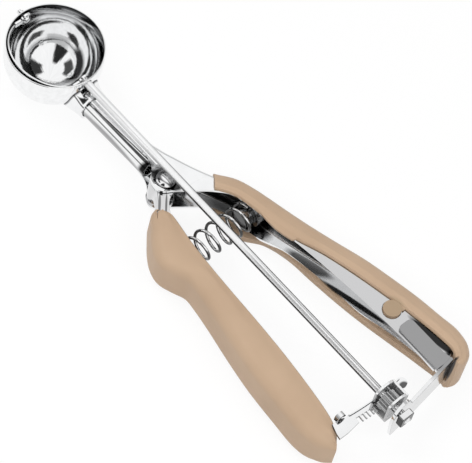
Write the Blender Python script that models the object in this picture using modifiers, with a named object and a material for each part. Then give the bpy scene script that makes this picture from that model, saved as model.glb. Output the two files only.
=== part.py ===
"""A two-handled squeeze cookie scoop with a swinging scraper.

The frame: +X runs from the bowl to the tail along the rod, +Y points to the fixed handle,
+Z is up, and the origin is the middle of the flat spot under the bowl, on the table.
Everything is in metres.
"""

import math

import bmesh
import bpy
from mathutils import Matrix, Vector

MM = 0.001

# Clearances
SEAT_GAP = 0.3 * MM
RUN_GAP = 0.3 * MM
EAR_GAP = 0.4 * MM
SHEET = 1.2 * MM

# Bowl, rod and the heights that follow from them
BOWL_RADIUS = 20.2 * MM
BOWL_WALL = 0.8 * MM
BOWL_DEPTH = 26.0 * MM
FOOT_RADIUS = 3.0 * MM
BOWL_ARC_STEPS = 9
BOWL_TURNS = 40
ROD_RADIUS = 1.7 * MM
ROD_DROP = 2.6 * MM
ROD_Z = BOWL_DEPTH - ROD_DROP
ROD_OVER_PIVOT = 0.6 * MM
PIVOT_HEAD_HEIGHT = 1.6 * MM
CHANNEL_TOP = ROD_Z - ROD_RADIUS - ROD_OVER_PIVOT - PIVOT_HEAD_HEIGHT - SEAT_GAP
CHANNEL_BOTTOM = 3.8 * MM

# Scraper and far pin
SCRAPER_THICK = 0.6 * MM
SCRAPER_WIDTH = 7.0 * MM
SCRAPER_END_WIDTH = 4.0 * MM
SCRAPER_END_ANGLE = math.radians(74)
LUG_RADIUS = 3.0 * MM
LUG_THICK = 0.9 * MM
FAR_PIN_RADIUS = 1.1 * MM
FAR_PIN_HEAD_RADIUS = 1.7 * MM
FAR_PIN_STANDOUT = 2.4 * MM
STAKE_THICK = 0.8 * MM

# Shank tube and ferrule
SHANK_START = BOWL_RADIUS + 1.4 * MM
SHANK_END = 61.0 * MM
SHANK_START_RADIUS = 5.2 * MM
SHANK_END_RADIUS = 5.0 * MM
SHANK_END_HEIGHT = CHANNEL_TOP - SHANK_END_RADIUS
SHANK_START_HEIGHT = SHANK_END_HEIGHT - 0.9 * MM
SHANK_WALL = 1.1 * MM
SEAM_WIDTH = 1.35 * MM
SEAM_LEAN = math.radians(20)
FERRULE_START = BOWL_RADIUS - 8.2 * MM
FERRULE_END = BOWL_RADIUS + 5.0 * MM
FERRULE_WALL = 1.0 * MM
FERRULE_HALF_WIDTH = BOWL_RADIUS - 12.0 * MM
FERRULE_TOP = BOWL_DEPTH - 1.4 * MM
FERRULE_BOTTOM = SHANK_START_HEIGHT - 5.7 * MM
FERRULE_MOUTH = 7.0 * MM
FERRULE_BAND = 1.5 * MM

# Channels of the two handles
BEND_RADIUS = 2.0 * MM
PIVOT_X = 70.2 * MM
PIVOT_Y = -1.6 * MM
PIVOT_RADIUS = 2.4 * MM
PIVOT_HEAD_RADIUS = 4.2 * MM

# Plan of the fixed handle: outer wall, top flange edge, bottom flange edge, in mm
FIXED_OUTER = [
    (54, 5.0), (60, 6.7), (64, 8.2), (67, 9.3), (70, 10.5), (73.5, 12.0), (77, 13.6),
    (80, 15.1), (84, 16.8), (88.5, 18.8), (97, 21.4), (108, 23.8), (120, 26.8), (132, 30.2),
    (145, 34.2), (158, 37.4), (170, 39.4), (180, 40.8), (188, 41.2), (193, 39.4), (195.6, 36.4),
]
FIXED_TOP_EDGE = [
    (54, -0.6), (60, -1.6), (63.9, -3.6), (66.0, -6.2), (69.6, -7.7), (73.5, -6.6), (75.8, -3.0),
    (78.4, 0.8), (82.0, 5.9), (85.8, 10.6), (92, 15.6), (105, 18.2), (118, 20.4), (130, 22.1),
    (143, 23.5), (156, 24.6), (168, 25.3), (178, 25.7), (187, 25.7), (192.5, 25.5), (196.3, 25.4),
]
FIXED_BOTTOM_EDGE = [
    (54, -0.6), (60, -1.6), (63.9, -3.6), (66.0, -6.2), (69.6, -7.7), (73.0, -6.2), (75.4, -1.8),
    (78.2, 2.2), (81.8, 7.2), (85.8, 11.6), (93, 14.8), (105, 16.4), (117, 21.4), (130, 23.8),
    (143, 25.4), (156, 26.9), (167, 29.4), (177, 31.4), (186, 32.8), (191.5, 33.4), (195.6, 33.5),
]

# Plan of the lever: outer wall and flange edge, in mm, with the rise from ear to full height
LEVER_OUTER = [
    (65.6, 0.4), (64.5, -2.6), (65.4, -5.4), (67.5, -7.2), (70.6, -8.0), (74.6, -10.7), (79.0, -14.0),
    (84.0, -17.6), (91.0, -20.6), (99.0, -22.0), (110, -20.6), (125, -22.8), (140, -25.6), (156, -28.2),
    (170, -29.3), (182, -29.5), (190, -28.4),
]
LEVER_EDGE = [
    (68.4, 2.2), (70.6, 3.0), (72.8, 2.4), (74.6, 0.6), (76.2, -3.2), (78.2, -6.6), (82.0, -9.4),
    (87.0, -11.6), (94.0, -12.9), (101.0, -13.7), (111, -14.6), (126, -15.4), (141, -16.2), (156, -17.3),
    (170, -18.8), (182, -20.5), (189, -21.9),
]
LEVER_EAR_STATIONS = 6
LEVER_FULL_STATION = 9
LEVER_NECK_LIFT = {4: 3.4, 5: 6.4, 6: 6.4, 7: 2.6}

# Plan of the right grip, in mm: outer side, top lip and bottom lip
RIGHT_GRIP_OUTER = [
    (78.6, 16.2), (86.0, 21.9), (95, 25.2), (107, 28.1), (119, 31.1), (131, 34.6), (144, 38.6),
    (157, 41.5), (169, 43.8), (180, 45.2), (188, 46.3), (194.4, 45.4), (198.8, 42.8), (201.0, 39.8),
    (201.5, 36.9), (200.5, 34.5),
]
RIGHT_GRIP_TOP = [
    (85.4, 10.4), (92.4, 14.9), (100, 16.7), (111, 18.4), (121, 20.9), (133, 25.6), (147, 29.4),
    (160, 32.3), (172, 34.6), (183, 36.2), (189.4, 36.8), (193.0, 37.0), (195.6, 36.5), (197.2, 35.6),
    (197.9, 34.9), (198.3, 34.2),
]
RIGHT_GRIP_BOTTOM = [
    (86.4, 11.0), (93.6, 11.8), (102, 12.7), (109.8, 18.6), (120.5, 21.8), (133, 22.9), (147, 24.4),
    (160, 26.4), (172, 28.8), (182, 30.8), (188.6, 32.0), (192.6, 32.8), (195.4, 33.2), (197.0, 33.3),
    (197.8, 33.3), (198.4, 33.2),
]
GRIP_TOP = CHANNEL_TOP + 1.4 * MM
GRIP_BOTTOM = 0.0 * MM
GRIP_CORNER = 5.0 * MM
GRIP_LIP = 1.3 * MM

# Plan of the left grip, in mm: outer side and lip, and how far its ends draw in
LEFT_GRIP_OUTER = [
    (77.6, -13.8), (78.4, -16.2), (82.2, -19.8), (87.0, -23.8), (92.2, -26.9), (98.0, -28.1), (103.8, -26.3),
    (109.4, -24.0), (116, -24.4), (126, -26.0), (140, -28.7), (155, -31.1), (170, -32.4), (182, -33.2),
    (189.3, -32.3), (194.4, -29.7), (197.8, -26.6),
]
LEFT_GRIP_LIP = [
    (81.2, -11.3), (83.8, -10.5), (87.4, -10.9), (92.0, -11.7), (97.0, -12.5), (102.6, -13.1), (108.0, -13.6),
    (113.0, -14.0), (118, -14.3), (127, -14.8), (141, -15.5), (156, -16.6), (170, -18.1), (182, -19.8),
    (189, -21.2), (193.4, -23.0), (195.8, -24.8),
]
LEFT_GRIP_DRAW_IN = {0: 2.0, 1: 0.7, 2: 0.2, 14: 0.5, 15: 1.7, 16: 4.0}

# Spring and its seats
SPRING_X = 98.6 * MM
SPRING_HEIGHT = (CHANNEL_TOP + CHANNEL_BOTTOM) / 2
SPRING_WIRE_RADIUS = 0.65 * MM
SEAT_FLANGE = (CHANNEL_TOP - CHANNEL_BOTTOM) / 2 - SHEET - SEAT_GAP - 0.2 * MM
SPRING_RADIUS = SEAT_FLANGE - 0.4 * MM
SEAT_RADIUS = SPRING_RADIUS - SPRING_WIRE_RADIUS - 0.75 * MM
SPRING_LEFT_END = -18.2 * MM
SPRING_RIGHT_END = 17.4 * MM
SPRING_TURNS = 7
SPRING_POINTS_PER_TURN = 10
SPRING_CROWDING = 0.035
SEAT_LENGTH = 4.5 * MM

# Rack, pinion and guide
RACK_TOP = CHANNEL_TOP + 1.2 * MM
RACK_THICK = 1.2 * MM
RACK_PITCH = 1.8 * MM
RACK_INNER = 121.3 * MM
RACK_START_Y = -15.4 * MM
RACK_BAND = 2.4 * MM
RACK_TIP = 126.2 * MM
RACK_FINGER = 0.6 * MM
RACK_FINGERS = 8
RACK_NUB_Y = 11.2 * MM
RACK_NUB_RADIUS = 2.1 * MM
RACK_BEAD = 0.6 * MM
PINION_TEETH = 12
PINION_ROOT = 2.7 * MM
PINION_TIP = 4.2 * MM
PINION_TOOTH = 0.7 * MM
PINION_TOOTH_TIP = 0.4 * MM
PINION_START = 194.2 * MM
PINION_LENGTH = 4.7 * MM
GUIDE_START = 191.9 * MM
GUIDE_SHEET = 1.1 * MM
GUIDE_NEAR_Y = -3.9 * MM
GUIDE_FAR_Y = 6.0 * MM
GUIDE_TOP = ROD_Z + 3.9 * MM
GUIDE_CROWN = 1.8 * MM
GUIDE_BOTTOM = ROD_Z - 7.4 * MM

# Rod arm, nut and boss
ARM_SHEET = 1.4 * MM
ARM_FAR_X = 197.9 * MM
ARM_FAR_Y = 34.0 * MM
ARM_ROD_X = 203.3 * MM
ARM_OUTLINE = [
    (34.0, -2.7), (9.8, -2.7), (8.0, -2.1), (6.6, -0.5), (5.6, 1.8), (4.0, 3.8), (2.0, 4.9),
    (0.0, 5.1), (-2.0, 4.7), (-3.8, 3.2), (-4.7, 0.8), (-4.6, -2.9), (-3.6, -9.4), (-2.4, -13.6),
    (-1.3, -15.2), (0.6, -15.9), (4.6, -16.5), (12.0, -17.5), (34.0, -18.7),
]
ARM_LOW_EDGE = ROD_Z - 18.7 * MM
TAB_START = 174.5 * MM
TAB_INNER = 26.1 * MM
TAB_OUTER = 33.2 * MM
TAB_CORNER = 0.28 * (TAB_OUTER - TAB_INNER)
RIVET_RADIUS = 1.3 * MM
RIVET_HEAD = 2.2 * MM
RIVET_RISE = 0.5 * MM
ARM_RIVETS_X = [180.0, 190.0]
NUT_START = 0.9 * MM
NUT_FLATS = 6.2 * MM
NUT_THICK = 2.8 * MM
BOSS_X = 167.0 * MM
BOSS_Y = 30.4 * MM
BOSS_RADIUS = 3.7 * MM

# Rack base and its rivets
RACK_BASE = [
    (176.0, -27.0), (188.0, -26.0), (190.0, -25.0), (190.2, -22.5), (191.4, -22.5), (191.4, -20.6),
    (176.0, -21.4),
]
RACK_GUSSET = [
    (189.8, -19.8), (190.0, -22.6), (194.0, -24.0), (196.2, -24.4), (196.2, -20.0), (195.4, -13.6),
    (191.4, -13.6),
]
RACK_RISER = [(190.4, -22.3), (191.6, -22.3), (191.6, -20.4), (190.4, -20.4)]
RACK_RIVET_PLACES = [(180.0, -24.6), (186.2, -24.4)]

# Worked out from the values above
RIM_Z = BOWL_DEPTH
ARM_RIVET_PLACES = [(x, (TAB_INNER + TAB_OUTER) / 2 / MM) for x in ARM_RIVETS_X]
SPHERE_Z = math.sqrt(BOWL_RADIUS**2 - FOOT_RADIUS**2)
BOWL_INNER = BOWL_RADIUS - BOWL_WALL
EAR_TOP = CHANNEL_TOP - SHEET - EAR_GAP
EAR_BOTTOM = CHANNEL_BOTTOM + SHEET + EAR_GAP
RACK_PITCH_RADIUS = (PINION_START - PIVOT_X + RACK_TIP) / 2
RACK_PITCH_ANGLE = RACK_PITCH / RACK_PITCH_RADIUS
RACK_ANGLE = math.asin(-PIVOT_Y / RACK_PITCH_RADIUS)
TURN_RATIO = 2 * math.pi / PINION_TEETH / RACK_PITCH_ANGLE
PINION_END = PINION_START + PINION_LENGTH
GUIDE_END = PINION_END + RUN_GAP + GUIDE_SHEET
ARM_LEAN = (ARM_ROD_X - ARM_FAR_X) / ARM_FAR_Y

COLLECTION = bpy.data.collections.new("cookie_scoop")
CUTTERS = bpy.data.collections.new("cutters")


def clear_scene():
    for obj in list(bpy.data.objects):
        bpy.data.objects.remove(obj)


def material(name, colour, roughness, metallic):
    made = bpy.data.materials.new(name)
    made.use_nodes = True
    shader = made.node_tree.nodes["Principled BSDF"]
    shader.inputs["Base Color"].default_value = (*colour, 1)
    shader.inputs["Roughness"].default_value = roughness
    shader.inputs["Metallic"].default_value = metallic
    return made


def add(name, mesh, finish=None, smooth=True):
    obj = bpy.data.objects.new(name, mesh)
    if finish:
        COLLECTION.objects.link(obj)
        mesh.materials.append(finish)
    else:
        CUTTERS.objects.link(obj)
        obj.hide_render = True
        obj.display_type = "WIRE"
    if smooth:
        mesh.shade_smooth()
        mesh.set_sharp_from_angle(angle=math.radians(35))
    return obj


def mesh_of(bm, name):
    bmesh.ops.recalc_face_normals(bm, faces=bm.faces)
    mesh = bpy.data.meshes.new(name)
    bm.to_mesh(mesh)
    bm.free()
    return mesh


def cylinder(name, radius, low, high, axis="Z", at=(0, 0), segments=32, finish=None):
    """A cylinder from low to high along an axis; at holds its other two coordinates in X, Y, Z order."""
    bm = bmesh.new()
    bmesh.ops.create_cone(
        bm, cap_ends=True, segments=segments, radius1=radius, radius2=radius, depth=high - low
    )
    turn = {"X": Matrix.Rotation(math.pi / 2, 4, "Y"), "Y": Matrix.Rotation(-math.pi / 2, 4, "X")}
    middle = (low + high) / 2
    place = {"X": (middle, *at), "Y": (at[0], middle, at[1]), "Z": (*at, middle)}
    matrix = Matrix.Translation(place[axis]) @ turn.get(axis, Matrix())
    bmesh.ops.transform(bm, matrix=matrix, verts=bm.verts)
    return add(name, mesh_of(bm, name), finish)


def turned(name, profile, matrix, finish=None, steps=32):
    """Turns a profile of (radius, height) pairs, from its top down the outer side, about its own Z."""
    mesh = bpy.data.meshes.new(name)
    mesh.from_pydata([(r, 0, z) for r, z in profile], [(i, i + 1) for i in range(len(profile) - 1)], [])
    obj = add(name, mesh, finish, smooth=False)
    obj.matrix_world = matrix
    screw = obj.modifiers.new("turn", "SCREW")
    screw.steps = screw.render_steps = steps
    screw.use_merge_vertices = True
    screw.merge_threshold = 0.00001
    screw.use_smooth_shade = True
    return obj


def loft(name, sections, finish=None):
    """A closed body through sections that all have the same number of points."""
    bm = bmesh.new()
    rings = [[bm.verts.new(point) for point in section] for section in sections]
    count = len(rings[0])
    for ring, following in zip(rings, rings[1:]):
        for i in range(count):
            bm.faces.new((ring[i], ring[(i + 1) % count], following[(i + 1) % count], following[i]))
    bm.faces.new(rings[0])
    bm.faces.new(rings[-1])
    return add(name, mesh_of(bm, name), finish)


def prism(name, outline, low, high, finish=None):
    """A flat outline in plan, from low to high."""
    bm = bmesh.new()
    face = bm.faces.new([bm.verts.new((x, y, low)) for x, y in outline])
    raised = bmesh.ops.extrude_face_region(bm, geom=[face])["geom"]
    corners = [v for v in raised if isinstance(v, bmesh.types.BMVert)]
    bmesh.ops.translate(bm, verts=corners, vec=(0, 0, high - low))
    return add(name, mesh_of(bm, name), finish, smooth=False)


def slab(name, outline, start, end, lean=0, finish=None):
    """An outline of (y, z) points made thick along X; lean moves it along X with y."""
    low = [Vector((start + lean * y, y, z)) for y, z in outline]
    high = [Vector((end + lean * y, y, z)) for y, z in outline]
    bm = bmesh.new()
    rings = [[bm.verts.new(point) for point in ring] for ring in (low, high)]
    count = len(outline)
    for i in range(count):
        bm.faces.new((rings[0][i], rings[0][(i + 1) % count], rings[1][(i + 1) % count], rings[1][i]))
    bm.faces.new(rings[0])
    bm.faces.new(rings[1])
    return add(name, mesh_of(bm, name), finish, smooth=False)


def block(name, low, high, finish=None):
    return prism(name, [(low[0], low[1]), (high[0], low[1]), (high[0], high[1]), (low[0], high[1])],
                 low[2], high[2], finish)


def boolean(obj, other, operation):
    step = obj.modifiers.new(other.name, "BOOLEAN")
    step.operation = operation
    step.object = other


def cut(obj, *cutters):
    for cutter in cutters:
        boolean(obj, cutter, "DIFFERENCE")


def join(obj, *others):
    for other in others:
        boolean(obj, other, "UNION")


def smooth_path(points, parts):
    """Catmull-Rom points through a list of plan points in mm, as plan vectors in metres."""
    knots = [Vector(p) * MM for p in points]
    knots = [2 * knots[0] - knots[1], *knots, 2 * knots[-1] - knots[-2]]
    path = []
    for a, b, c, d in zip(knots, knots[1:], knots[2:], knots[3:]):
        for step in range(parts):
            t = step / parts
            cubic = 3 * b - a - 3 * c + d
            path.append(0.5 * (2 * b + (c - a) * t + (2 * a - 5 * b + 4 * c - d) * t**2 + cubic * t**3))
    path.append(knots[-2])
    return path


def offset_path(path, distance):
    """The path moved to its left by a distance."""
    moved = []
    for i, point in enumerate(path):
        along = path[min(i + 1, len(path) - 1)] - path[max(i - 1, 0)]
        along.normalize()
        moved.append(point + distance * Vector((-along.y, along.x)))
    return moved


def arc(centre, radius, start, end, steps):
    """Points (across, up) on an arc, its angles in degrees."""
    angles = [math.radians(start + (end - start) * i / steps) for i in range(steps + 1)]
    return [(centre[0] + radius * math.cos(a), centre[1] + radius * math.sin(a)) for a in angles]


def across(outer, inner, distance, height):
    """The point at a distance in from the outer side, towards the inner one, at a height."""
    inward = (inner - outer).normalized()
    plan = outer + inward * distance
    return Vector((plan.x, plan.y, height))


def channel_section(outer, top_edge, bottom_edge, high, low):
    """A C of sheet metal, open towards its two flange edges, with bent corners."""
    bend = BEND_RADIUS
    inner_bend = BEND_RADIUS - SHEET
    top_width = (top_edge - outer).length
    bottom_width = (bottom_edge - outer).length
    top = [(top_width, high)] + [(bend - u, v) for u, v in arc((0, high - bend), bend, 90, 0, 2)]
    bottom = [(bend - u, v) for u, v in arc((0, low + bend), bend, 0, -90, 2)] + [(bottom_width, low)]
    inside_low = [(bottom_width, low + SHEET)] + [
        (bend - u, v) for u, v in arc((0, low + bend), inner_bend, -90, 0, 2)
    ]
    inside_high = [(bend - u, v) for u, v in arc((0, high - bend), inner_bend, 0, 90, 2)] + [
        (top_width, high - SHEET)
    ]
    half = len(top)
    points = []
    for index, (u, v) in enumerate(top + bottom + inside_low + inside_high):
        edge = top_edge if index < half or index >= 3 * half else bottom_edge
        points.append(across(outer, edge, u, v))
    return points


def grip_section(outer, top_lip, bottom_lip, high, low):
    """The outside of a soft grip, round at its outer side and turned in at its lips."""
    radius = min(GRIP_CORNER, 0.42 * (high - low), 0.55 * (top_lip - outer).length)
    lip = min(GRIP_LIP, 0.3 * radius)
    top_width = (top_lip - outer).length
    bottom_width = (bottom_lip - outer).length
    points = [across(outer, top_lip, top_width, high - lip)]
    points.append(across(outer, top_lip, top_width - 0.3 * lip, high - 0.3 * lip))
    points.append(across(outer, top_lip, top_width - lip, high))
    points += [across(outer, top_lip, radius - u, v) for u, v in arc((0, high - radius), radius, 90, 0, 4)]
    points += [across(outer, bottom_lip, radius - u, v) for u, v in arc((0, low + radius), radius, 0, -90, 4)]
    points.append(across(outer, bottom_lip, bottom_width - lip, low))
    points.append(across(outer, bottom_lip, bottom_width - 0.3 * lip, low + 0.3 * lip))
    points.append(across(outer, bottom_lip, bottom_width, low + lip))
    return points


def shank_frame(x):
    share = (x - SHANK_START) / (SHANK_END - SHANK_START)
    radius = SHANK_START_RADIUS + share * (SHANK_END_RADIUS - SHANK_START_RADIUS)
    height = SHANK_START_HEIGHT + share * (SHANK_END_HEIGHT - SHANK_START_HEIGHT)
    return radius, height


def ring_points(x, radius, height, gap_half_angle, lean, steps, inward=False):
    """Points round a tube section, from one side of its seam to the other."""
    angles = [gap_half_angle + (2 * math.pi - 2 * gap_half_angle) * i / steps for i in range(steps + 1)]
    if inward:
        angles.reverse()
    return [
        Vector((x, -radius * math.sin(a + lean), height + radius * math.cos(a + lean))) for a in angles
    ]


def bowl_arc(radius, start):
    """Half of the ball under the bowl's band, from its flat spot up."""
    steps = BOWL_ARC_STEPS
    angles = [start + (math.pi / 2 - start) * i / steps for i in range(steps + 1)]
    return [(radius * math.sin(a), SPHERE_Z - radius * math.cos(a)) for a in angles]


def make_bowl(steel):
    outer = [(0, 0)] + bowl_arc(BOWL_RADIUS, math.asin(FOOT_RADIUS / BOWL_RADIUS))
    rim_round = 0.25 * BOWL_WALL
    outer += [(BOWL_RADIUS, RIM_Z - rim_round), (BOWL_RADIUS - rim_round, RIM_Z)]
    inner = [(BOWL_INNER + rim_round, RIM_Z), (BOWL_INNER, RIM_Z - rim_round)]
    inner += reversed(bowl_arc(BOWL_INNER, 0))
    bowl = turned("bowl", outer + inner, Matrix(), steel, BOWL_TURNS)
    bowl.modifiers["turn"].use_normal_flip = True
    inside, outside = 0.5 * BOWL_RADIUS, 1.5 * BOWL_RADIUS
    near = cylinder("bowl_rod_hole", ROD_RADIUS + RUN_GAP, inside, outside, "X", (0, ROD_Z), 20)
    far = cylinder("bowl_pin_hole", FAR_PIN_RADIUS + RUN_GAP, -outside, -inside, "X", (0, ROD_Z), 16)
    cut(bowl, near, far)
    return bowl


def make_scraper(steel):
    """The blade lies against the left wall; its plane holds the rod's axis."""
    reach = BOWL_INNER - RUN_GAP
    rings = []
    steps = 22
    for i in range(steps + 1):
        t = -SCRAPER_END_ANGLE + 2 * SCRAPER_END_ANGLE * i / steps
        width = SCRAPER_END_WIDTH + (SCRAPER_WIDTH - SCRAPER_END_WIDTH) * math.cos(t) ** 0.7
        ring = []
        inner = reach - SCRAPER_THICK
        for radius, side in ((reach, -1), (reach, 0), (reach, 1), (inner, 1), (inner, -1)):
            tilt = side * width / 2 / radius
            ring.append(Vector((radius * math.sin(t), -radius * math.cos(t) * math.cos(tilt),
                                ROD_Z + radius * math.cos(t) * math.sin(tilt))))
        rings.append(ring)
    blade = loft("scraper_blade", rings, steel)
    lug_out = reach * math.sin(SCRAPER_END_ANGLE)
    near_in = lug_out - LUG_THICK
    arm_half = SCRAPER_END_WIDTH / 2 * math.cos(SCRAPER_END_ANGLE)
    end_y = -reach * math.cos(SCRAPER_END_ANGLE)
    for side in (-1, 1):
        low, high = sorted((side * near_in, side * lug_out))
        lug = cylinder(f"lug_{side}", LUG_RADIUS, low, high, "X", (0, ROD_Z), 24)
        arm = block(f"lug_arm_{side}", (low, end_y - 0.4 * MM, ROD_Z - 2.4 * arm_half),
                    (high, 0, ROD_Z + 2.4 * arm_half))
        join(blade, lug, arm)
    holes = (
        cylinder("near_lug_hole", ROD_RADIUS + SEAT_GAP, near_in - MM, lug_out + MM, "X", (0, ROD_Z), 20),
        cylinder("far_lug_hole", FAR_PIN_RADIUS + SEAT_GAP, -lug_out - MM, -near_in + MM, "X", (0, ROD_Z), 16),
    )
    cut(blade, *holes)
    return near_in, lug_out


def make_rod_line(steel, bright, near_in, lug_out):
    """The rod with its staked end, the far pin, the washer and the nut."""
    rod_end = ARM_ROD_X + NUT_START + NUT_THICK + 0.4 * MM
    along_x = Matrix.Translation((0, 0, ROD_Z)) @ Matrix.Rotation(math.pi / 2, 4, "Y")
    stake = near_in - SEAT_GAP
    profile = [
        (0, rod_end), (ROD_RADIUS - 0.4 * MM, rod_end), (ROD_RADIUS, rod_end - 0.4 * MM),
        (ROD_RADIUS, stake), (LUG_RADIUS - 0.5 * MM, stake), (LUG_RADIUS - 0.7 * MM, stake - 0.5 * STAKE_THICK),
        (ROD_RADIUS * 0.8, stake - STAKE_THICK), (0, stake - STAKE_THICK),
    ]
    turned("rod", profile, along_x, bright, 24)
    out = -(BOWL_RADIUS + FAR_PIN_STANDOUT)
    wall = -(BOWL_RADIUS + SEAT_GAP)
    head = FAR_PIN_HEAD_RADIUS
    inside = -near_in + SEAT_GAP
    profile = [
        (0, inside + STAKE_THICK), (head * 0.7, inside + STAKE_THICK), (head, inside + 0.4 * STAKE_THICK),
        (head, inside), (FAR_PIN_RADIUS, inside), (FAR_PIN_RADIUS, wall), (head, wall), (head, wall - 0.9 * MM),
        (FAR_PIN_RADIUS, wall - 1.2 * MM), (FAR_PIN_RADIUS, out + 0.3 * MM), (FAR_PIN_RADIUS - 0.3 * MM, out),
        (0, out),
    ]
    turned("far_pin", profile, along_x, steel, 20)
    return rod_end


def make_ferrule(steel):
    """A flared sheet socket, open on top, which holds the shank tube against the bowl."""
    outer, inner = [], []
    radius_end, height_end = shank_frame(FERRULE_END)
    stations = 5
    for i in range(stations + 1):
        share = i / stations
        eased = share * share * (3 - 2 * share)
        x = FERRULE_START + (FERRULE_END - FERRULE_START) * share
        half = FERRULE_HALF_WIDTH + (radius_end + SEAT_GAP + FERRULE_WALL - FERRULE_HALF_WIDTH) * eased
        top = FERRULE_TOP + (height_end + radius_end + SEAT_GAP + FERRULE_WALL - FERRULE_TOP) * eased
        bottom = FERRULE_BOTTOM + (height_end - radius_end - SEAT_GAP - FERRULE_WALL - FERRULE_BOTTOM) * eased
        power = 4 - 2 * eased
        for rings, wall in ((outer, 0), (inner, FERRULE_WALL)):
            a, b, middle = half - wall, (top - bottom) / 2 - wall, (top + bottom) / 2
            ring = []
            for k in range(24):
                angle = 2 * math.pi * k / 24
                c, s = math.cos(angle), math.sin(angle)
                ring.append(Vector((x, a * math.copysign(abs(c) ** (2 / power), c),
                                    middle + b * math.copysign(abs(s) ** (2 / power), s))))
            rings.append(ring)
    for ring in (inner[0], inner[-1]):
        shift = -MM if ring is inner[0] else MM
        for point in ring:
            point.x += shift
    ferrule = loft("ferrule", outer, steel)
    hollow = loft("ferrule_hollow", inner)
    radius = BOWL_RADIUS + SEAT_GAP
    profile = [(0, RIM_Z + MM), (radius, RIM_Z + MM)] + list(reversed(bowl_arc(radius, 0)))
    ball = turned("ferrule_bowl_cut", profile, Matrix(), None, BOWL_TURNS)
    mouth = block("ferrule_mouth", (0, -FERRULE_MOUTH / 2, SHANK_START_HEIGHT),
                  (FERRULE_END - FERRULE_BAND, FERRULE_MOUTH / 2, RIM_Z + MM))
    cut(ferrule, hollow, ball, mouth)


def make_fixed_handle(steel):
    """Shank tube, neck and channel, one stamping."""
    outer = smooth_path(FIXED_OUTER, 1)
    rails = zip(outer, smooth_path(FIXED_TOP_EDGE, 1), smooth_path(FIXED_BOTTOM_EDGE, 1))
    sections = [channel_section(o, t, b, CHANNEL_TOP, CHANNEL_BOTTOM) for o, t, b in rails]
    handle = loft("fixed_handle", sections, steel)
    rings = []
    for i in range(5):
        x = SHANK_START + (SHANK_END - SHANK_START) * i / 4
        radius, height = shank_frame(x)
        half_gap = math.asin(SEAM_WIDTH / 2 / radius)
        rings.append(ring_points(x, radius, height, half_gap, SEAM_LEAN, 20)
                     + ring_points(x, radius - SHANK_WALL, height, half_gap, SEAM_LEAN, 20, inward=True))
    tube = loft("shank_tube", rings)
    pivot = (PIVOT_X, PIVOT_Y)
    hole = cylinder("fixed_pivot_hole", PIVOT_RADIUS + SEAT_GAP, 0, CHANNEL_TOP + MM, "Z", pivot, 24)
    join(handle, tube)
    cut(handle, hole)
    cut(handle, cylinder("boss_hole", BOSS_RADIUS + SEAT_GAP, CHANNEL_TOP - 2 * SHEET, CHANNEL_TOP + MM, "Z",
                         (BOSS_X, BOSS_Y), 24))
    rivet_holes(handle, ARM_RIVET_PLACES)
    return outer


def rivet_holes(obj, places):
    for index, (x, y) in enumerate(places):
        cut(obj, cylinder(f"{obj.name}_rivet_hole_{index}", RIVET_RADIUS + SEAT_GAP, GUIDE_BOTTOM - MM,
                          RACK_TOP + MM, "Z", (x * MM, y * MM), 16))


def make_rivets(name, places, low, high, steel, flush=False):
    """Low-headed rivets through plates that lie between two heights, or ones ground flush on top."""
    head = RIVET_HEAD
    profile = [(0, high), (RIVET_RADIUS, high)]
    if not flush:
        crown = high + 0.75 * RIVET_RISE
        profile = [(0, high + RIVET_RISE), (0.6 * head, crown), (head, high), (RIVET_RADIUS, high)]
    profile += [(RIVET_RADIUS, low), (head, low), (head, low - 0.5 * RIVET_RISE), (0, low - 0.5 * RIVET_RISE)]
    for index, (x, y) in enumerate(places, 1):
        turned(f"{name}_{index}", profile, Matrix.Translation((x * MM, y * MM, 0)), steel, 16)


def make_lever(steel):
    """The moving handle's channel: ears at the pivot, then full height inside its grip."""
    outer = smooth_path(LEVER_OUTER, 1)
    edge = smooth_path(LEVER_EDGE, 1)
    sections = []
    for index, (o, e) in enumerate(zip(outer, edge)):
        share = min(max((index - LEVER_EAR_STATIONS) / (LEVER_FULL_STATION - LEVER_EAR_STATIONS), 0), 1)
        high = EAR_TOP + share * (CHANNEL_TOP - EAR_TOP)
        low = EAR_BOTTOM + share * (CHANNEL_BOTTOM - EAR_BOTTOM)
        low += LEVER_NECK_LIFT.get(index, 0) * MM
        sections.append(channel_section(o, e, e, high, low))
    lever = loft("lever", sections, steel)
    pivot = (PIVOT_X, PIVOT_Y)
    cut(lever, cylinder("lever_pivot_hole", PIVOT_RADIUS + RUN_GAP, 0, CHANNEL_TOP + MM, "Z", pivot, 24))
    rivet_holes(lever, RACK_RIVET_PLACES)
    return outer


def cavity(name, outer, low, high, side, ends):
    """Room for a channel in its grip: the wall's outer side and a gap, open towards the rod."""
    wall = offset_path(outer, side * SEAT_GAP)
    inner_y = -side * 6 * MM
    end_x = wall[-1].x + ends
    outline = [*wall, Vector((end_x, wall[-1].y)), Vector((end_x, inner_y)), Vector((wall[0].x, inner_y))]
    return prism(name, outline, low - SEAT_GAP, high + SEAT_GAP)


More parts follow.
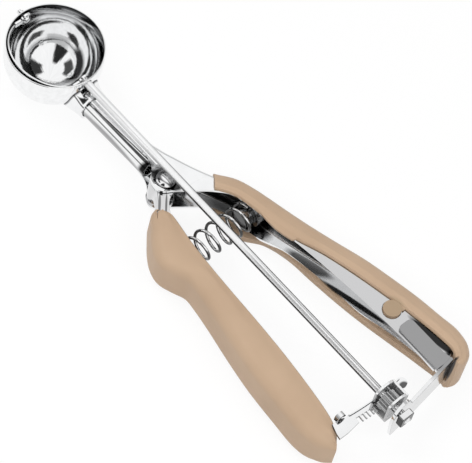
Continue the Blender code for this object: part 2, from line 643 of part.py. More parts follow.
def make_grips(rubber, fixed_outer, lever_outer):
    sections = []
    rails = (smooth_path(points, 2) for points in (RIGHT_GRIP_OUTER, RIGHT_GRIP_TOP, RIGHT_GRIP_BOTTOM))
    for o, t, b in zip(*rails):
        sections.append(grip_section(o, t, b, GRIP_TOP, GRIP_BOTTOM))
    right = loft("right_grip", sections, rubber)
    cut(right, cavity("right_cavity", fixed_outer[5:], CHANNEL_BOTTOM, CHANNEL_TOP, 1, 1.6 * MM))
    sections = []
    outer = smooth_path(LEFT_GRIP_OUTER, 2)
    lip = smooth_path(LEFT_GRIP_LIP, 2)
    for index, (o, e) in enumerate(zip(outer, lip)):
        before, after = index // 2, (index + 1) // 2
        draw = (LEFT_GRIP_DRAW_IN.get(before, 0) + LEFT_GRIP_DRAW_IN.get(after, 0)) / 2 * MM
        sections.append(grip_section(o, e, e, GRIP_TOP - draw, GRIP_BOTTOM + draw))
    left = loft("left_grip", sections, rubber)
    neck_low = EAR_BOTTOM + LEVER_NECK_LIFT[6] * MM
    ear = cavity("left_ear_cavity", lever_outer[3:8], neck_low, EAR_TOP, -1, 0)
    full = cavity("left_cavity", lever_outer[6:], CHANNEL_BOTTOM, CHANNEL_TOP, -1, 0.6 * MM)
    cut(left, ear, full)
    return left


def make_pivot(steel):
    head = PIVOT_HEAD_RADIUS
    top = CHANNEL_TOP + SEAT_GAP
    bottom = CHANNEL_BOTTOM - SEAT_GAP
    profile = [(0, top + PIVOT_HEAD_HEIGHT)]
    profile += [(head * math.sin(a), top + PIVOT_HEAD_HEIGHT * math.cos(a)) for a in (0.4, 0.8, 1.2)]
    profile += [(head, top), (PIVOT_RADIUS, top), (PIVOT_RADIUS, bottom), (head, bottom)]
    profile += [(head * math.sin(a), bottom - PIVOT_HEAD_HEIGHT * math.cos(a)) for a in (1.2, 0.8, 0.4)]
    profile += [(0, bottom - PIVOT_HEAD_HEIGHT)]
    turned("pivot_rivet", profile, Matrix.Translation((PIVOT_X, PIVOT_Y, 0)), steel, 24)


def make_spring(bright):
    """The compression spring between the two channels, one open helix with closed-up ends."""
    count = SPRING_TURNS * SPRING_POINTS_PER_TURN
    length = SPRING_RIGHT_END - SPRING_LEFT_END - 2 * SPRING_WIRE_RADIUS
    points = []
    for i in range(count + 1):
        share = i / count
        eased = share - SPRING_CROWDING * math.sin(2 * math.pi * share)
        angle = 2 * math.pi * i / SPRING_POINTS_PER_TURN
        points.append(Vector((
            SPRING_X + SPRING_RADIUS * math.sin(angle),
            SPRING_LEFT_END + SPRING_WIRE_RADIUS + length * eased,
            SPRING_HEIGHT + SPRING_RADIUS * math.cos(angle),
        )))
    gap = least_gap(points)
    print(f"spring: least gap between its turns {gap / MM:.2f} mm")
    curve = bpy.data.curves.new("spring", "CURVE")
    curve.dimensions = "3D"
    spline = curve.splines.new("POLY")
    spline.points.add(len(points) - 1)
    for target, point in zip(spline.points, points):
        target.co = (*point, 1)
    curve.bevel_depth = SPRING_WIRE_RADIUS
    curve.bevel_resolution = 1
    curve.use_fill_caps = True
    curve.materials.append(bright)
    COLLECTION.objects.link(bpy.data.objects.new("spring", curve))


def least_gap(points):
    """The smallest distance between wire surfaces more than half a turn apart."""
    apart = SPRING_POINTS_PER_TURN // 2
    return min(
        (a - b).length for i, a in enumerate(points) for b in points[i + apart:]
    ) - 2 * SPRING_WIRE_RADIUS


def make_seats(steel, fixed_outer, lever_outer):
    """A stud on each channel's wall, inside the spring's end turns."""
    right_end = SPRING_RIGHT_END - SEAT_LENGTH
    place = (SPRING_X, SPRING_HEIGHT)
    behind = 7 * MM
    right = cylinder("spring_seat_right", SEAT_FLANGE, SPRING_RIGHT_END + SEAT_GAP,
                     SPRING_RIGHT_END + behind, "Y", place, 24, steel)
    join(right, cylinder("right_stud", SEAT_RADIUS, right_end, SPRING_RIGHT_END + MM, "Y", place, 24))
    wall = offset_path(fixed_outer[6:16], -(SHEET + SEAT_GAP))
    beyond = [Vector((wall[-1].x, 0.06)), Vector((wall[0].x, 0.06))]
    cut(right, prism("right_seat_cut", [*wall, *beyond], 0, CHANNEL_TOP))
    left_end = SPRING_LEFT_END + SEAT_LENGTH
    left = cylinder("spring_seat_left", SEAT_FLANGE, SPRING_LEFT_END - behind,
                    SPRING_LEFT_END - SEAT_GAP, "Y", place, 24, steel)
    join(left, cylinder("left_stud", SEAT_RADIUS, SPRING_LEFT_END - MM, left_end, "Y", place, 24))
    wall = offset_path(lever_outer[6:14], SHEET + SEAT_GAP)
    beyond = [Vector((wall[-1].x, -0.05)), Vector((wall[0].x, -0.05))]
    cut(left, prism("left_seat_cut", [*wall, *beyond], 0, CHANNEL_TOP))


def widened(outline, gap):
    """The outline with each point moved out from its middle by a gap each way."""
    middle = sum(outline, Vector((0, 0))) / len(outline)
    steps = [Vector((math.copysign(gap, p.x - middle.x), math.copysign(gap, p.y - middle.y))) for p in outline]
    return [p + step for p, step in zip(outline, steps)]


def polar(radius, y):
    """The plan point at a radius from the pivot and a height y across the rod."""
    return Vector((PIVOT_X + math.sqrt(radius**2 - (y - PIVOT_Y) ** 2), y))


def arc_band(low_radius, high_radius, start_y, end_y, steps):
    ys = [start_y + (end_y - start_y) * i / steps for i in range(steps + 1)]
    outer = [polar(high_radius, y) for y in reversed(ys)]
    return [polar(low_radius, y) for y in ys] + outer


def make_rack(steel):
    """The comb plate under the pinion, with its base under the lever's top flange."""
    low, high = RACK_TOP - RACK_THICK, RACK_TOP
    band = RACK_INNER + RACK_BAND
    rack = prism("gear_rack", arc_band(RACK_INNER, band, RACK_START_Y, RACK_NUB_Y, 12), low, high, steel)
    for index in range(RACK_FINGERS):
        angle = RACK_ANGLE + (0.5 - index) * RACK_PITCH_ANGLE
        out = Vector((math.cos(angle), math.sin(angle)))
        side = Vector((-out.y, out.x)) * RACK_FINGER / 2
        centre = Vector((PIVOT_X, PIVOT_Y))
        root, shoulder, tip = (centre + out * r for r in (band - 0.8 * MM, RACK_TIP - 0.5 * MM, RACK_TIP))
        end = 0.4 * side
        finger = [root - side, shoulder - side, tip - end, tip + end, shoulder + side, root + side]
        join(rack, prism(f"finger_{index}", finger, low, high))
    middle = polar(RACK_INNER + RACK_NUB_RADIUS, RACK_NUB_Y)
    join(rack, cylinder("rack_nub", RACK_NUB_RADIUS, low, high, "Z", (middle.x, middle.y), 20))
    bead = arc_band(RACK_INNER, RACK_INNER + RACK_BEAD, RACK_START_Y + 0.4 * MM, RACK_NUB_Y, 12)
    join(rack, prism("rack_bead", bead, high - 0.3 * MM, high + RACK_BEAD))
    join(rack, prism("rack_gusset", plan(RACK_GUSSET), low, high))
    base_high = CHANNEL_TOP - SHEET - SEAT_GAP
    base_low = base_high - RACK_THICK
    join(rack, prism("rack_riser", plan(RACK_RISER), base_low, high))
    join(rack, prism("rack_base", plan(RACK_BASE), base_low, base_high))
    rivet_holes(rack, RACK_RIVET_PLACES)
    return base_low


def plan(points):
    return [Vector(p) * MM for p in points]


def make_pinion(steel):
    """A small gear on the rod, a tooth pointing straight down."""
    outline = []
    root_half = math.asin(PINION_TOOTH / 2 / PINION_ROOT)
    tip_half = math.asin(PINION_TOOTH_TIP / 2 / PINION_TIP)
    step = 2 * math.pi / PINION_TEETH
    for tooth in range(PINION_TEETH):
        middle = -math.pi / 2 + tooth * step
        for radius, angle in (
            (PINION_ROOT, middle - root_half), (PINION_TIP - 0.3 * MM, middle - tip_half * 1.4),
            (PINION_TIP, middle - tip_half * 0.8), (PINION_TIP, middle + tip_half * 0.8),
            (PINION_TIP - 0.3 * MM, middle + tip_half * 1.4), (PINION_ROOT, middle + root_half),
            (PINION_ROOT, middle + step / 2),
        ):
            outline.append((radius * math.cos(angle), ROD_Z + radius * math.sin(angle)))
    pinion = slab("pinion", outline, PINION_START, PINION_END, 0, steel)
    near, far = PINION_START - MM, PINION_END + MM
    cut(pinion, cylinder("pinion_bore", ROD_RADIUS + SEAT_GAP, near, far, "X", (0, ROD_Z), 20))


def make_guide(steel):
    """The cradle round the pinion, open on one side: it hangs on the rod and the rack slides through it."""
    near, far = GUIDE_NEAR_Y, GUIDE_FAR_Y
    guide = block("rack_guide", (GUIDE_START, near, GUIDE_BOTTOM), (GUIDE_END, far, GUIDE_TOP), steel)
    middle = (near + far) / 2
    crown = (far - near) / 2 - 0.8 * MM
    for index, x in enumerate((GUIDE_START, GUIDE_END - GUIDE_SHEET)):
        outline = [(-crown, GUIDE_TOP - MM), (crown, GUIDE_TOP - MM), (crown, GUIDE_TOP)]
        outline += [(crown * math.cos(a), GUIDE_TOP + GUIDE_CROWN * math.sin(a)) for a in (0.6, 1.2, 1.9, 2.5)]
        outline += [(-crown, GUIDE_TOP)]
        outline = [(middle + y, z) for y, z in outline]
        join(guide, slab(f"guide_crown_{index}", outline, x, x + GUIDE_SHEET))
    inside = block("guide_inside", (GUIDE_START + GUIDE_SHEET, 2 * near, GUIDE_BOTTOM + GUIDE_SHEET),
                   (GUIDE_END - GUIDE_SHEET, far - GUIDE_SHEET, GUIDE_TOP + 5 * MM))
    slot = block("guide_slot", (GUIDE_START - MM, 2 * near, RACK_TOP - RACK_THICK - RUN_GAP),
                 (PIVOT_X + RACK_TIP + RUN_GAP, 2 * far, RACK_TOP + RACK_BEAD + RUN_GAP))
    bore = cylinder("guide_bore", ROD_RADIUS + RUN_GAP, GUIDE_START - MM, GUIDE_END + MM, "X", (0, ROD_Z), 20)
    cut(guide, inside, slot, bore)


def make_arm(steel):
    """The bracket on the fixed handle that carries the rod's tail."""
    outline = [(y * MM, ROD_Z + z * MM) for y, z in ARM_OUTLINE]
    arm = slab("rod_arm", outline, ARM_ROD_X - ARM_SHEET, ARM_ROD_X, -ARM_LEAN, steel)
    low = CHANNEL_TOP + SEAT_GAP
    end = ARM_FAR_X - 0.5 * ARM_SHEET
    corner = TAB_CORNER
    tab = [
        (TAB_START + corner, TAB_INNER), (end, TAB_INNER), (end, ARM_FAR_Y), (end - 2 * corner, TAB_OUTER),
        (TAB_START + corner, TAB_OUTER), (TAB_START + 0.3 * corner, TAB_OUTER - 0.3 * corner),
        (TAB_START, TAB_OUTER - corner), (TAB_START, TAB_INNER + corner),
        (TAB_START + 0.3 * corner, TAB_INNER + 0.3 * corner),
    ]
    join(arm, prism("arm_tab", tab, low, low + SHEET))
    near, far = ARM_ROD_X - 5 * MM, ARM_ROD_X + 5 * MM
    cut(arm, cylinder("arm_bore", ROD_RADIUS + 2 * RUN_GAP, near, far, "X", (0, ROD_Z), 20))
    rivet_holes(arm, ARM_RIVET_PLACES)
    far = ARM_FAR_Y + SEAT_GAP
    floor = ARM_LOW_EDGE - SEAT_GAP
    roof = GRIP_TOP + 9 * MM
    slot = slab("arm_slot", [(far, floor), (far, roof), (0, roof), (0, floor)],
                ARM_ROD_X - ARM_SHEET - 2 * SEAT_GAP, ARM_ROD_X + 2 * SEAT_GAP, -ARM_LEAN)
    return slot


def make_nut(steel):
    half = NUT_FLATS / 2
    start = ARM_ROD_X + NUT_START
    bevel = 0.6 * MM
    outline = [
        (-half, ROD_Z - half + bevel), (-half + bevel, ROD_Z - half), (half - bevel, ROD_Z - half),
        (half, ROD_Z - half + bevel), (half, ROD_Z + half - bevel), (half - bevel, ROD_Z + half),
        (-half + bevel, ROD_Z + half), (-half, ROD_Z + half - bevel),
    ]
    nut = slab("rod_nut", outline, start, start + NUT_THICK, 0, steel)
    end = start + NUT_THICK
    cut(nut, cylinder("nut_bore", ROD_RADIUS + SEAT_GAP, start - MM, end + MM, "X", (0, ROD_Z), 20))


def fit_grips(slot):
    """Room in the grips for the arm, its tab and rivets and the rack's base, and the boss in the flange."""
    right = bpy.data.objects["right_grip"]
    left = bpy.data.objects["left_grip"]
    boss = cylinder("grip_boss", BOSS_RADIUS, CHANNEL_TOP - 2.2 * MM, GRIP_TOP - 0.3 * MM, "Z",
                    (BOSS_X, BOSS_Y), 24)
    tongue = cylinder("boss_tongue", 0.8 * BOSS_RADIUS, CHANNEL_TOP + 1.4 * SEAT_GAP, GRIP_TOP - 0.5 * MM, "Z",
                      (BOSS_X + 0.1 * BOSS_RADIUS, BOSS_Y + 0.87 * BOSS_RADIUS), 22)
    join(right, boss, tongue)
    for step in right.modifiers:
        step.use_self = step.object in (boss, tongue)
    tab_room = block("tab_room", (TAB_START - 2 * MM, 12 * MM, CHANNEL_TOP + 0.5 * SEAT_GAP),
                     (ARM_FAR_X, TAB_OUTER + SEAT_GAP, GRIP_TOP + 7 * MM))
    join(slot, tab_room)
    cut(right, slot)
    outline = widened(plan(RACK_GUSSET), SEAT_GAP)
    cut(left, prism("gusset_room", outline, EAR_BOTTOM, RACK_TOP + 2 * MM))
    for index, (x, y) in enumerate(RACK_RIVET_PLACES):
        cut(left, cylinder(f"rivet_room_{index}", RIVET_HEAD + SEAT_GAP, CHANNEL_TOP,
                           CHANNEL_TOP + 1.7 * SEAT_GAP + RIVET_RISE, "Z", (x * MM, y * MM), 20))


def main():
    clear_scene()
    scene = bpy.context.scene
    scene.collection.children.link(COLLECTION)
    scene.collection.children.link(CUTTERS)
    steel = material("polished_steel", (0.62, 0.63, 0.64), 0.12, 1.0)
    bright = material("bright_steel", (0.74, 0.75, 0.76), 0.08, 1.0)
    rubber = material("tan_grip", (0.56, 0.39, 0.26), 0.55, 0.0)
    make_bowl(steel)
    near_in, lug_out = make_scraper(steel)
    make_rod_line(steel, bright, near_in, lug_out)
    make_ferrule(steel)
    fixed_outer = make_fixed_handle(steel)
    lever_outer = make_lever(steel)
    make_grips(rubber, fixed_outer, lever_outer)
    make_pivot(steel)
    make_spring(bright)
    make_seats(steel, fixed_outer, lever_outer)
    base_low = make_rack(steel)
    make_pinion(steel)
    make_guide(steel)
    slot = make_arm(steel)
    make_nut(steel)
    fit_grips(slot)
    flange_low = CHANNEL_TOP - SHEET - SEAT_GAP
    make_rivets("arm_rivet", ARM_RIVET_PLACES, flange_low, CHANNEL_TOP + SEAT_GAP + SHEET, steel, True)
    make_rivets("rack_rivet", RACK_RIVET_PLACES, base_low - SEAT_GAP, CHANNEL_TOP + SEAT_GAP, steel)
    print(f"one degree of the lever turns the scraper {TURN_RATIO:.3f} degrees")


main()
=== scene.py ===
"""A cookie scoop on a white studio floor: polished sheet steel, bright wire and rod, soft tan grips."""

from math import asin, copysign, cos, pi, radians, sin, sqrt

import bmesh
import bpy
from mathutils import Matrix, Vector


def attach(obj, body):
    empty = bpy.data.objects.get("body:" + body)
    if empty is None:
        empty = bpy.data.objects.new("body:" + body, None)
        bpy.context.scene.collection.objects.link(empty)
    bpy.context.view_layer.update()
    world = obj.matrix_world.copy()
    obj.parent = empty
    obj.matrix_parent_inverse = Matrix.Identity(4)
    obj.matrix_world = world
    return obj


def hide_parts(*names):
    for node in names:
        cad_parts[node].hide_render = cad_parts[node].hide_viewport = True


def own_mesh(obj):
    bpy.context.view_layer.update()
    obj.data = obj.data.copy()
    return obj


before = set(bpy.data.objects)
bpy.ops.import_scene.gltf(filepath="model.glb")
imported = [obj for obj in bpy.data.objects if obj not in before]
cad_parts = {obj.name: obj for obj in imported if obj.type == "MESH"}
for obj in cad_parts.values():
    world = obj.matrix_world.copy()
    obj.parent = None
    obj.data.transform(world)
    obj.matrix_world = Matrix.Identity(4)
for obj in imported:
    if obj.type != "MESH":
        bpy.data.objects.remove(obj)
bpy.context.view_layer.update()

MM = 0.001
GAP = 0.3 * MM
SHEET = 1.2 * MM

# Bowl and scraper
BOWL_RADIUS = 20.2 * MM
BOWL_WALL = 0.8 * MM
RIM_Z = 26 * MM
FOOT_RADIUS = 3 * MM
ROD_Z = 23.4 * MM
ROD_RADIUS = 1.7 * MM
BLADE_THICK = 0.6 * MM
BLADE_WIDTH = 7 * MM
BLADE_END_WIDTH = 4 * MM
BLADE_END_ANGLE = radians(74)
LUG_RADIUS = 3 * MM
LUG_THICK = 0.9 * MM
STAKE_RADIUS = 2.4 * MM
PIN_RADIUS = 1.1 * MM
PIN_HEAD = 1.7 * MM

# Shank and ferrule
SHANK_START = 21.6 * MM
SHANK_END = 61 * MM
SHANK_RADII = (5.2 * MM, 5 * MM)
SHANK_HEIGHTS = (13.3 * MM, 14.2 * MM)
SHANK_WALL = 1.1 * MM
SEAM_WIDTH = 1.35 * MM
SEAM_DEPTH = 0.3 * MM
SEAM_LEANS = (radians(31), radians(15))
FERRULE_START = 12 * MM
FERRULE_END = 25.2 * MM
FERRULE_WALL = 1 * MM
FERRULE_HALF_WIDTH = 8.2 * MM
FERRULE_TOP = 24.6 * MM
FERRULE_BOTTOM = 7.6 * MM
FERRULE_MOUTH = 7 * MM
FERRULE_BAND = 1.5 * MM

# Channels of the handles
CHANNEL_TOP = 19.2 * MM
CHANNEL_BOTTOM = 3.8 * MM
EAR_GAP = 0.4 * MM
EAR_TOP = CHANNEL_TOP - SHEET - EAR_GAP
EAR_BOTTOM = CHANNEL_BOTTOM + SHEET + EAR_GAP
BEND_RADIUS = 2 * MM
PIVOT_X = 70.2 * MM
PIVOT_Y = -1.6 * MM
PIVOT_RADIUS = 2.4 * MM
PIVOT_HEAD = 4.2 * MM
PIVOT_RISE = 1.6 * MM
DISH_HALF = (7.4 * MM, 4.6 * MM)
DISH_DEPTH = 0.75 * MM
DISH_TURN = radians(18)

# Plans in mm: outer wall, top flange edge and bottom flange edge of the fixed handle
FIXED_OUTER = [
    (54, 5), (60, 6.7), (64, 8.2), (67, 9.3), (70, 10.5), (73.5, 12), (77, 13.6), (80, 15.1),
    (84, 16.8), (88.5, 18.8), (97, 21.4), (108, 23.8), (120, 26.8), (132, 30.2), (145, 34.2), (158, 37.4),
    (170, 39.4), (180, 40.8), (188, 41.2), (193, 39.4), (195.6, 36.4),
]
FIXED_TOP_EDGE = [
    (54, -0.6), (60, -1.6), (63.9, -3.6), (66, -6.2), (69.6, -7.7), (73.5, -6.6), (75.8, -3), (78.4, 0.8),
    (82, 5.9), (85.8, 10.6), (92, 15.6), (105, 18.2), (118, 20.4), (130, 22.1), (143, 23.5), (156, 24.6),
    (168, 25.3), (178, 25.7), (187, 25.7), (192.5, 25.5), (196.3, 25.4),
]
FIXED_BOTTOM_EDGE = [
    (54, -0.6), (60, -1.6), (63.9, -3.6), (66, -6.2), (69.6, -7.7), (73, -6.2), (75.4, -1.8), (78.2, 2.2),
    (81.8, 7.2), (85.8, 11.6), (93, 14.8), (105, 16.4), (117, 21.4), (130, 23.8), (143, 25.4), (156, 26.9),
    (167, 29.4), (177, 31.4), (186, 32.8), (191.5, 33.4), (195.6, 33.5),
]
LEVER_OUTER = [
    (65.6, 0.4), (64.5, -2.6), (65.4, -5.4), (67.5, -7.2), (70.6, -8), (74.6, -10.7), (79, -14),
    (84, -17.6), (91, -20.6), (99, -22), (110, -20.6), (125, -22.8), (140, -25.6), (156, -28.2),
    (170, -29.3), (182, -29.5), (190, -28.4),
]
LEVER_EDGE = [
    (68.4, 2.2), (70.6, 3), (72.8, 2.4), (74.6, 0.6), (76.2, -3.2), (78.2, -6.6), (82, -9.4),
    (87, -11.6), (94, -12.9), (101, -13.7), (111, -14.6), (126, -15.4), (141, -16.2), (156, -17.3),
    (170, -18.8), (182, -20.5), (189, -21.9),
]
# Of the lever: the plan points between which it grows to full height, and the lift of its neck's lower edge
LEVER_RISE = (6, 9)
LEVER_NECK_LIFT = [0, 0, 0, 0, 3.4, 6.4, 6.4, 2.6, 0, 0, 0, 0, 0, 0, 0, 0, 0]

# Plans of the grips in mm
RIGHT_GRIP_OUTER = [
    (78.6, 16.2), (86, 21.9), (95, 25.2), (107, 28.1), (119, 31.1), (131, 34.6), (144, 38.6), (157, 41.5),
    (169, 43.8), (180, 45.2), (188, 46.3), (194.4, 45.4), (198.8, 42.8), (201, 39.8), (201.5, 36.9),
    (200.5, 34.5),
]
RIGHT_GRIP_TOP = [
    (85.4, 10.4), (92.4, 14.9), (100, 16.7), (111, 18.4), (121, 20.9), (133, 25.6), (147, 29.4), (160, 32.3),
    (172, 34.6), (183, 36.2), (189.4, 36.8), (193, 37), (195.6, 36.5), (197.2, 35.6), (197.9, 34.9),
    (198.3, 34.2),
]
RIGHT_GRIP_BOTTOM = [
    (86.4, 11), (93.6, 11.8), (102, 12.7), (109.8, 18.6), (120.5, 21.8), (133, 22.9), (147, 24.4),
    (160, 26.4), (172, 28.8), (182, 30.8), (188.6, 32), (192.6, 32.8), (195.4, 33.2), (197, 33.3),
    (197.8, 33.3), (198.4, 33.2),
]
GRIP_CORNER_PLAN = [
    (104, 17.6), (109, 17.4), (113.4, 17.6), (117.4, 18.4), (120.8, 19.4), (121.4, 20.1), (121.6, 23.6),
    (112, 22.8), (104, 20.4),
]
LEFT_GRIP_OUTER = [
    (77.6, -13.8), (78.4, -16.2), (82.2, -19.8), (87, -23.8), (92.2, -26.9), (98, -28.1), (103.8, -26.3),
    (109.4, -24), (116, -24.4), (126, -26), (140, -28.7), (155, -31.1), (170, -32.4), (182, -33.2),
    (189.3, -32.3), (194.4, -29.7), (197.8, -26.6),
]
LEFT_GRIP_LIP = [
    (81.2, -11.3), (83.8, -10.5), (87.4, -10.9), (92, -11.7), (97, -12.5), (102.6, -13.1), (108, -13.6),
    (113, -14), (118, -14.3), (127, -14.8), (141, -15.5), (156, -16.6), (170, -18.1), (182, -19.8),
    (189, -21.2), (193.4, -23), (195.8, -24.8),
]
LEFT_GRIP_DRAW_IN = [1.2, 0.5, 0.2, 0, 0, 0, 0, 0, 0, 0, 0, 0, 0, 0, 0.5, 1.7, 4]
GRIP_TOP = 20.6 * MM
GRIP_CORNER = 5 * MM
GRIP_LIP = 1.3 * MM
CAVITY_PLAY = 0.15 * MM

# Spring and seats
SPRING_X = 98.6 * MM
SPRING_Z = 11.5 * MM
SPRING_RADIUS = 5.6 * MM
SPRING_WIRE = 0.65 * MM
SPRING_ENDS = (-18.2 * MM, 17.4 * MM)
SPRING_TURNS = 7
SEAT_RADIUS = 4.2 * MM
LEFT_SEAT_RADIUS = 2.9 * MM
SEAT_FLANGE = 6 * MM
SEAT_LENGTH = 4.5 * MM

# Rack, pinion, guide, arm and nut
RACK_TOP = 20.4 * MM
RACK_THICK = 1.2 * MM
RACK_INNER = 121.3 * MM
RACK_BAND = 2.4 * MM
RACK_TIP = 126.2 * MM
RACK_FINGER = 0.6 * MM
RACK_FINGERS = 8
RACK_NUB_Y = 11.2 * MM
RACK_NUB_RADIUS = 2.1 * MM
RACK_BEAD = 0.6 * MM
RACK_PITCH = 1.8 * MM
RACK_CURL = (188.5 * MM, -18.5 * MM)
CURL_RADII = (1.9 * MM, 0.9 * MM)
CURL_RISE = 1.1 * MM
CURL_WIDTH = 2.1 * MM
RACK_BASE = [
    (176, -27), (188, -26), (190, -25), (190.2, -22.5), (191.4, -22.5), (191.4, -20.6), (176, -21.4),
]
RACK_GUSSET = [
    (189.8, -19.8), (190, -22.6), (194, -24), (196.2, -24.4), (196.2, -20), (195.4, -13.6), (191.4, -13.6),
]
RACK_RISER = [(190.4, -22.3), (191.6, -22.3), (191.6, -20.4), (190.4, -20.4)]
PINION_TEETH = 12
PINION_ROOT = 2.7 * MM
PINION_TIP = 4.2 * MM
PINION_TOOTH = 0.7 * MM
PINION_TOOTH_TIP = 0.4 * MM
PINION_START = 194.2 * MM
PINION_END = 198.9 * MM
GUIDE_START = 191.9 * MM
GUIDE_END = 200.3 * MM
GUIDE_SHEET = 1.1 * MM
GUIDE_NEAR_Y = -3.9 * MM
GUIDE_FAR_Y = 6 * MM
GUIDE_TOP = 27.3 * MM
GUIDE_CROWN = 1.8 * MM
GUIDE_BOTTOM = 16 * MM
ARM_SHEET = 1.4 * MM
ARM_FAR_X = 197.9 * MM
ARM_FAR_Y = 34 * MM
ARM_ROD_X = 203.3 * MM
ARM_LEAN = (ARM_ROD_X - ARM_FAR_X) / ARM_FAR_Y
ARM_OUTLINE = [
    (34, 20.7), (9.8, 20.7), (8, 21.3), (6.6, 22.9), (5.6, 25.2), (4, 27.2), (2, 28.3), (0, 28.5),
    (-2, 28.1), (-3.8, 26.6), (-4.7, 24.2), (-4.7, 20.5), (-3.6, 14), (-2.6, 9.4), (-1.4, 7.9),
    (0.6, 7.2), (4.6, 6.7), (12, 5.9), (34, 4.7),
]
TAB_START = 174.5 * MM
TAB_INNER = 26.1 * MM
TAB_OUTER = 33.2 * MM
TAB_CORNER = 2 * MM
RIVET_RADIUS = 1.3 * MM
RIVET_HEAD = 2.2 * MM
ARM_RIVETS = [(180, 29.65), (190, 29.65)]
RACK_RIVETS = [(180, -24.6), (186.2, -24.4)]
NUT_START = 0.9 * MM
NUT_FLATS = 6.2 * MM
NUT_THICK = 2.8 * MM
BOSS = (167 * MM, 30.4 * MM)
BOSS_RADIUS = 3.7 * MM

# Tones of the steel; the pivot's dark tones are a painted dark reflection, and the black is painted dark
# reflection and painted shade
SHEET_TONES = ((0.86, 0.865, 0.87), (0.93, 0.935, 0.94))
PIVOT_PAINTED_DARK = ((0.1, 0.1, 0.105), (0.16, 0.16, 0.165))
BRIGHT_TONES = ((0.9, 0.905, 0.91), (0.96, 0.96, 0.965))
PAINTED_BLACK = (0.1, 0.1, 0.105)

# Painted shade and dark reflections on the sheet: centre and half sizes in mm, turn and reflectance
HANDLE_PAINTED_SHADE = [
    ((165, 33, 19.2), (56, 18, 4), 0.24, 0.62),
    ((67, -8.5, 11), (7, 4.5, 9), 0, 0.64),
    ((59.2, -1, 14.1), (4.6, 4.6, 4.6), 0, 0.015),
    ((61.2, -3, 14.5), (3.8, 4.2, 6.2), 0, 0.012),
    ((42, -5.2, 12.2), (24, 1.8, 4), 0, 0.36),
    ((88, 16.5, 10.5), (17, 7, 8.5), 0.45, 0.2),
    ((185.5, 35, 19.2), (13.5, 2, 2), 0.1, 0.03),
    ((100, 20.5, 8.5), (10.5, 6, 9), 0.2, 0.06),
    ((127, 26.8, 10.5), (13, 3, 4.5), 0.27, 0.06),
    ((152, 28.3, 5), (19, 1.4, 1.8), 0.24, 0.03),
    ((70.6, -1.4, 18.6), (8.6, 4, 1.4), 0.33, 0.05),
]
LEVER_PAINTED_SHADE = [
    ((69, -6, 11), (8, 6, 9), 0, 0.66),
    ((77.5, -10, 15), (6.5, 7.5, 6), 0, 0.7),
    ((76.8, -10.5, 17.6), (6, 0.6, 1.2), -0.75, 0.22),
    ((78.5, -8.5, 17.6), (6, 0.5, 1.2), -0.75, 0.2),
]
RACK_PAINTED_SHADE = [
    ((194.5, 10.6, 20.8), (2.2, 2.6, 1.4), 0, 0.12),
]
ARM_PAINTED_SHADE = [
    ((184, 29.5, 20.2), (22, 14, 3), 0.05, 0.36),
]
# On the rivet the spots are painted highlights on a head whose tone is a painted dark reflection
PIVOT_PAINTED_HIGHLIGHTS = [
    ((71, -1.6, 20.8), (3.4, 2.2, 1.4), 0.33, 0.93),
    ((69, 1.8, 19.6), (4.6, 1.5, 2), 0.33, 0.88),
    ((71.4, -5, 19.6), (4.6, 1.5, 2), 0.33, 0.88),
]
# Shaded places of the soft grips, the same way but with a colour
GRIP_SHADES = [
    ((167, 30.4, 20.4), (6, 5.6, 1.4), 0, (0.43, 0.31, 0.2)),
    ((198.4, 33.8, 14), (1.2, 4, 11), 0, (0.03, 0.024, 0.02)),
]

# Painted light and shade: how the tone changes from faces that look away from a direction to those that look
# along it
SPRING_SIDES = ((0, 0.55), (0.45, 0.06), (0.72, 0.08), (0.84, 0.95), (1, 0.95))
TOP_BRIGHT = ((0, 0.25), (0.42, 0.3), (0.6, 0.45), (0.9, 0.5), (0.965, 0.98), (1, 0.98))
TOP_DARK = ((0, 0.06), (0.45, 0.1), (0.75, 0.16), (0.93, 0.3), (0.97, 0.75), (1, 0.8))
NUT_SIDES = ((0, 0.03), (0.6, 0.06), (0.92, 0.25), (0.97, 0.92), (1, 0.92))
GUIDE_SIDES = ((0, 0.5), (0.42, 0.55), (0.6, 0.62), (0.9, 0.65), (0.965, 0.98), (1, 0.98))
PINION_SIDES = ((0, 0.3), (0.45, 0.36), (0.75, 0.42), (0.93, 0.48), (1, 0.55))
ARM_FACE = ((0, 0.85), (0.6, 0.95), (0.8, 0.25), (0.9, 0.25), (0.975, 0.7), (1, 0.74))
ROD_SIDES = ((0, 0.08), (0.25, 0.08), (0.3, 0.96), (0.94, 0.96), (0.952, 0.06), (1, 0.05))

# The dark and grey parts of the studio round the white: azimuths, elevations, brightness, soft edge
ROOM = [
    ("camera_side", (-92, -46), (18, 80), 0.025, 0.12),
    ("left_side", (-172, -106), (38, 62), 0.07, 0.14),
    ("right_side", (32, 92), (35, 71), 0.04, 0.14),
    ("back_grey", (74, 176), (6, 46), 0.6, 0.15),
    ("low_front", (-150, -30), (-0.5, 13), 0.14, 0.25),
    ("low_sides", (-30, 60), (-0.5, 11), 0.4, 0.2),
]

# Painted dark reflections on the bowl's inner wall: a direction, the shares of the bowl's radius that way
# between which the painted black grows, and the heights between which it grows
BOWL_PAINTED_REFLECTIONS = [
    ((-0.92, -0.4), 0.6, 0.82, 11 * MM, 15 * MM),
    ((-0.8, 0.6), -0.1, 0.45, 24 * MM, 24.9 * MM),
]

# Lamps: name, azimuth, elevation, width, depth and power
LAMPS = [
    ("key_left", 200, 62, 0.7, 0.5, 3.6),
    ("fill_right", 10, 55, 0.5, 0.5, 2.4),
    ("front", -70, 50, 0.9, 0.3, 3),
]
LAMP_DISTANCE = 1.1
ROOM_DISTANCE = 1.8
WORLD_FILL = 0.42
FLOOR_HALF = 3
FLOOR_GLOW = 1.04
FLOOR_SEEN = 0.85
FLOOR_MIRRORED = 0.8

# The photograph's viewpoint, with the picture's right, down and forward directions
VIEW_PLACE = (0.4875, -0.5637, 1.1181)
VIEW_RIGHT = (0.6582, 0.7374, 0.152)
VIEW_DOWN = (0.6924, -0.5135, -0.5069)
VIEW_FORWARD = (-0.2957, 0.4389, -0.8485)
LENS = 254.8

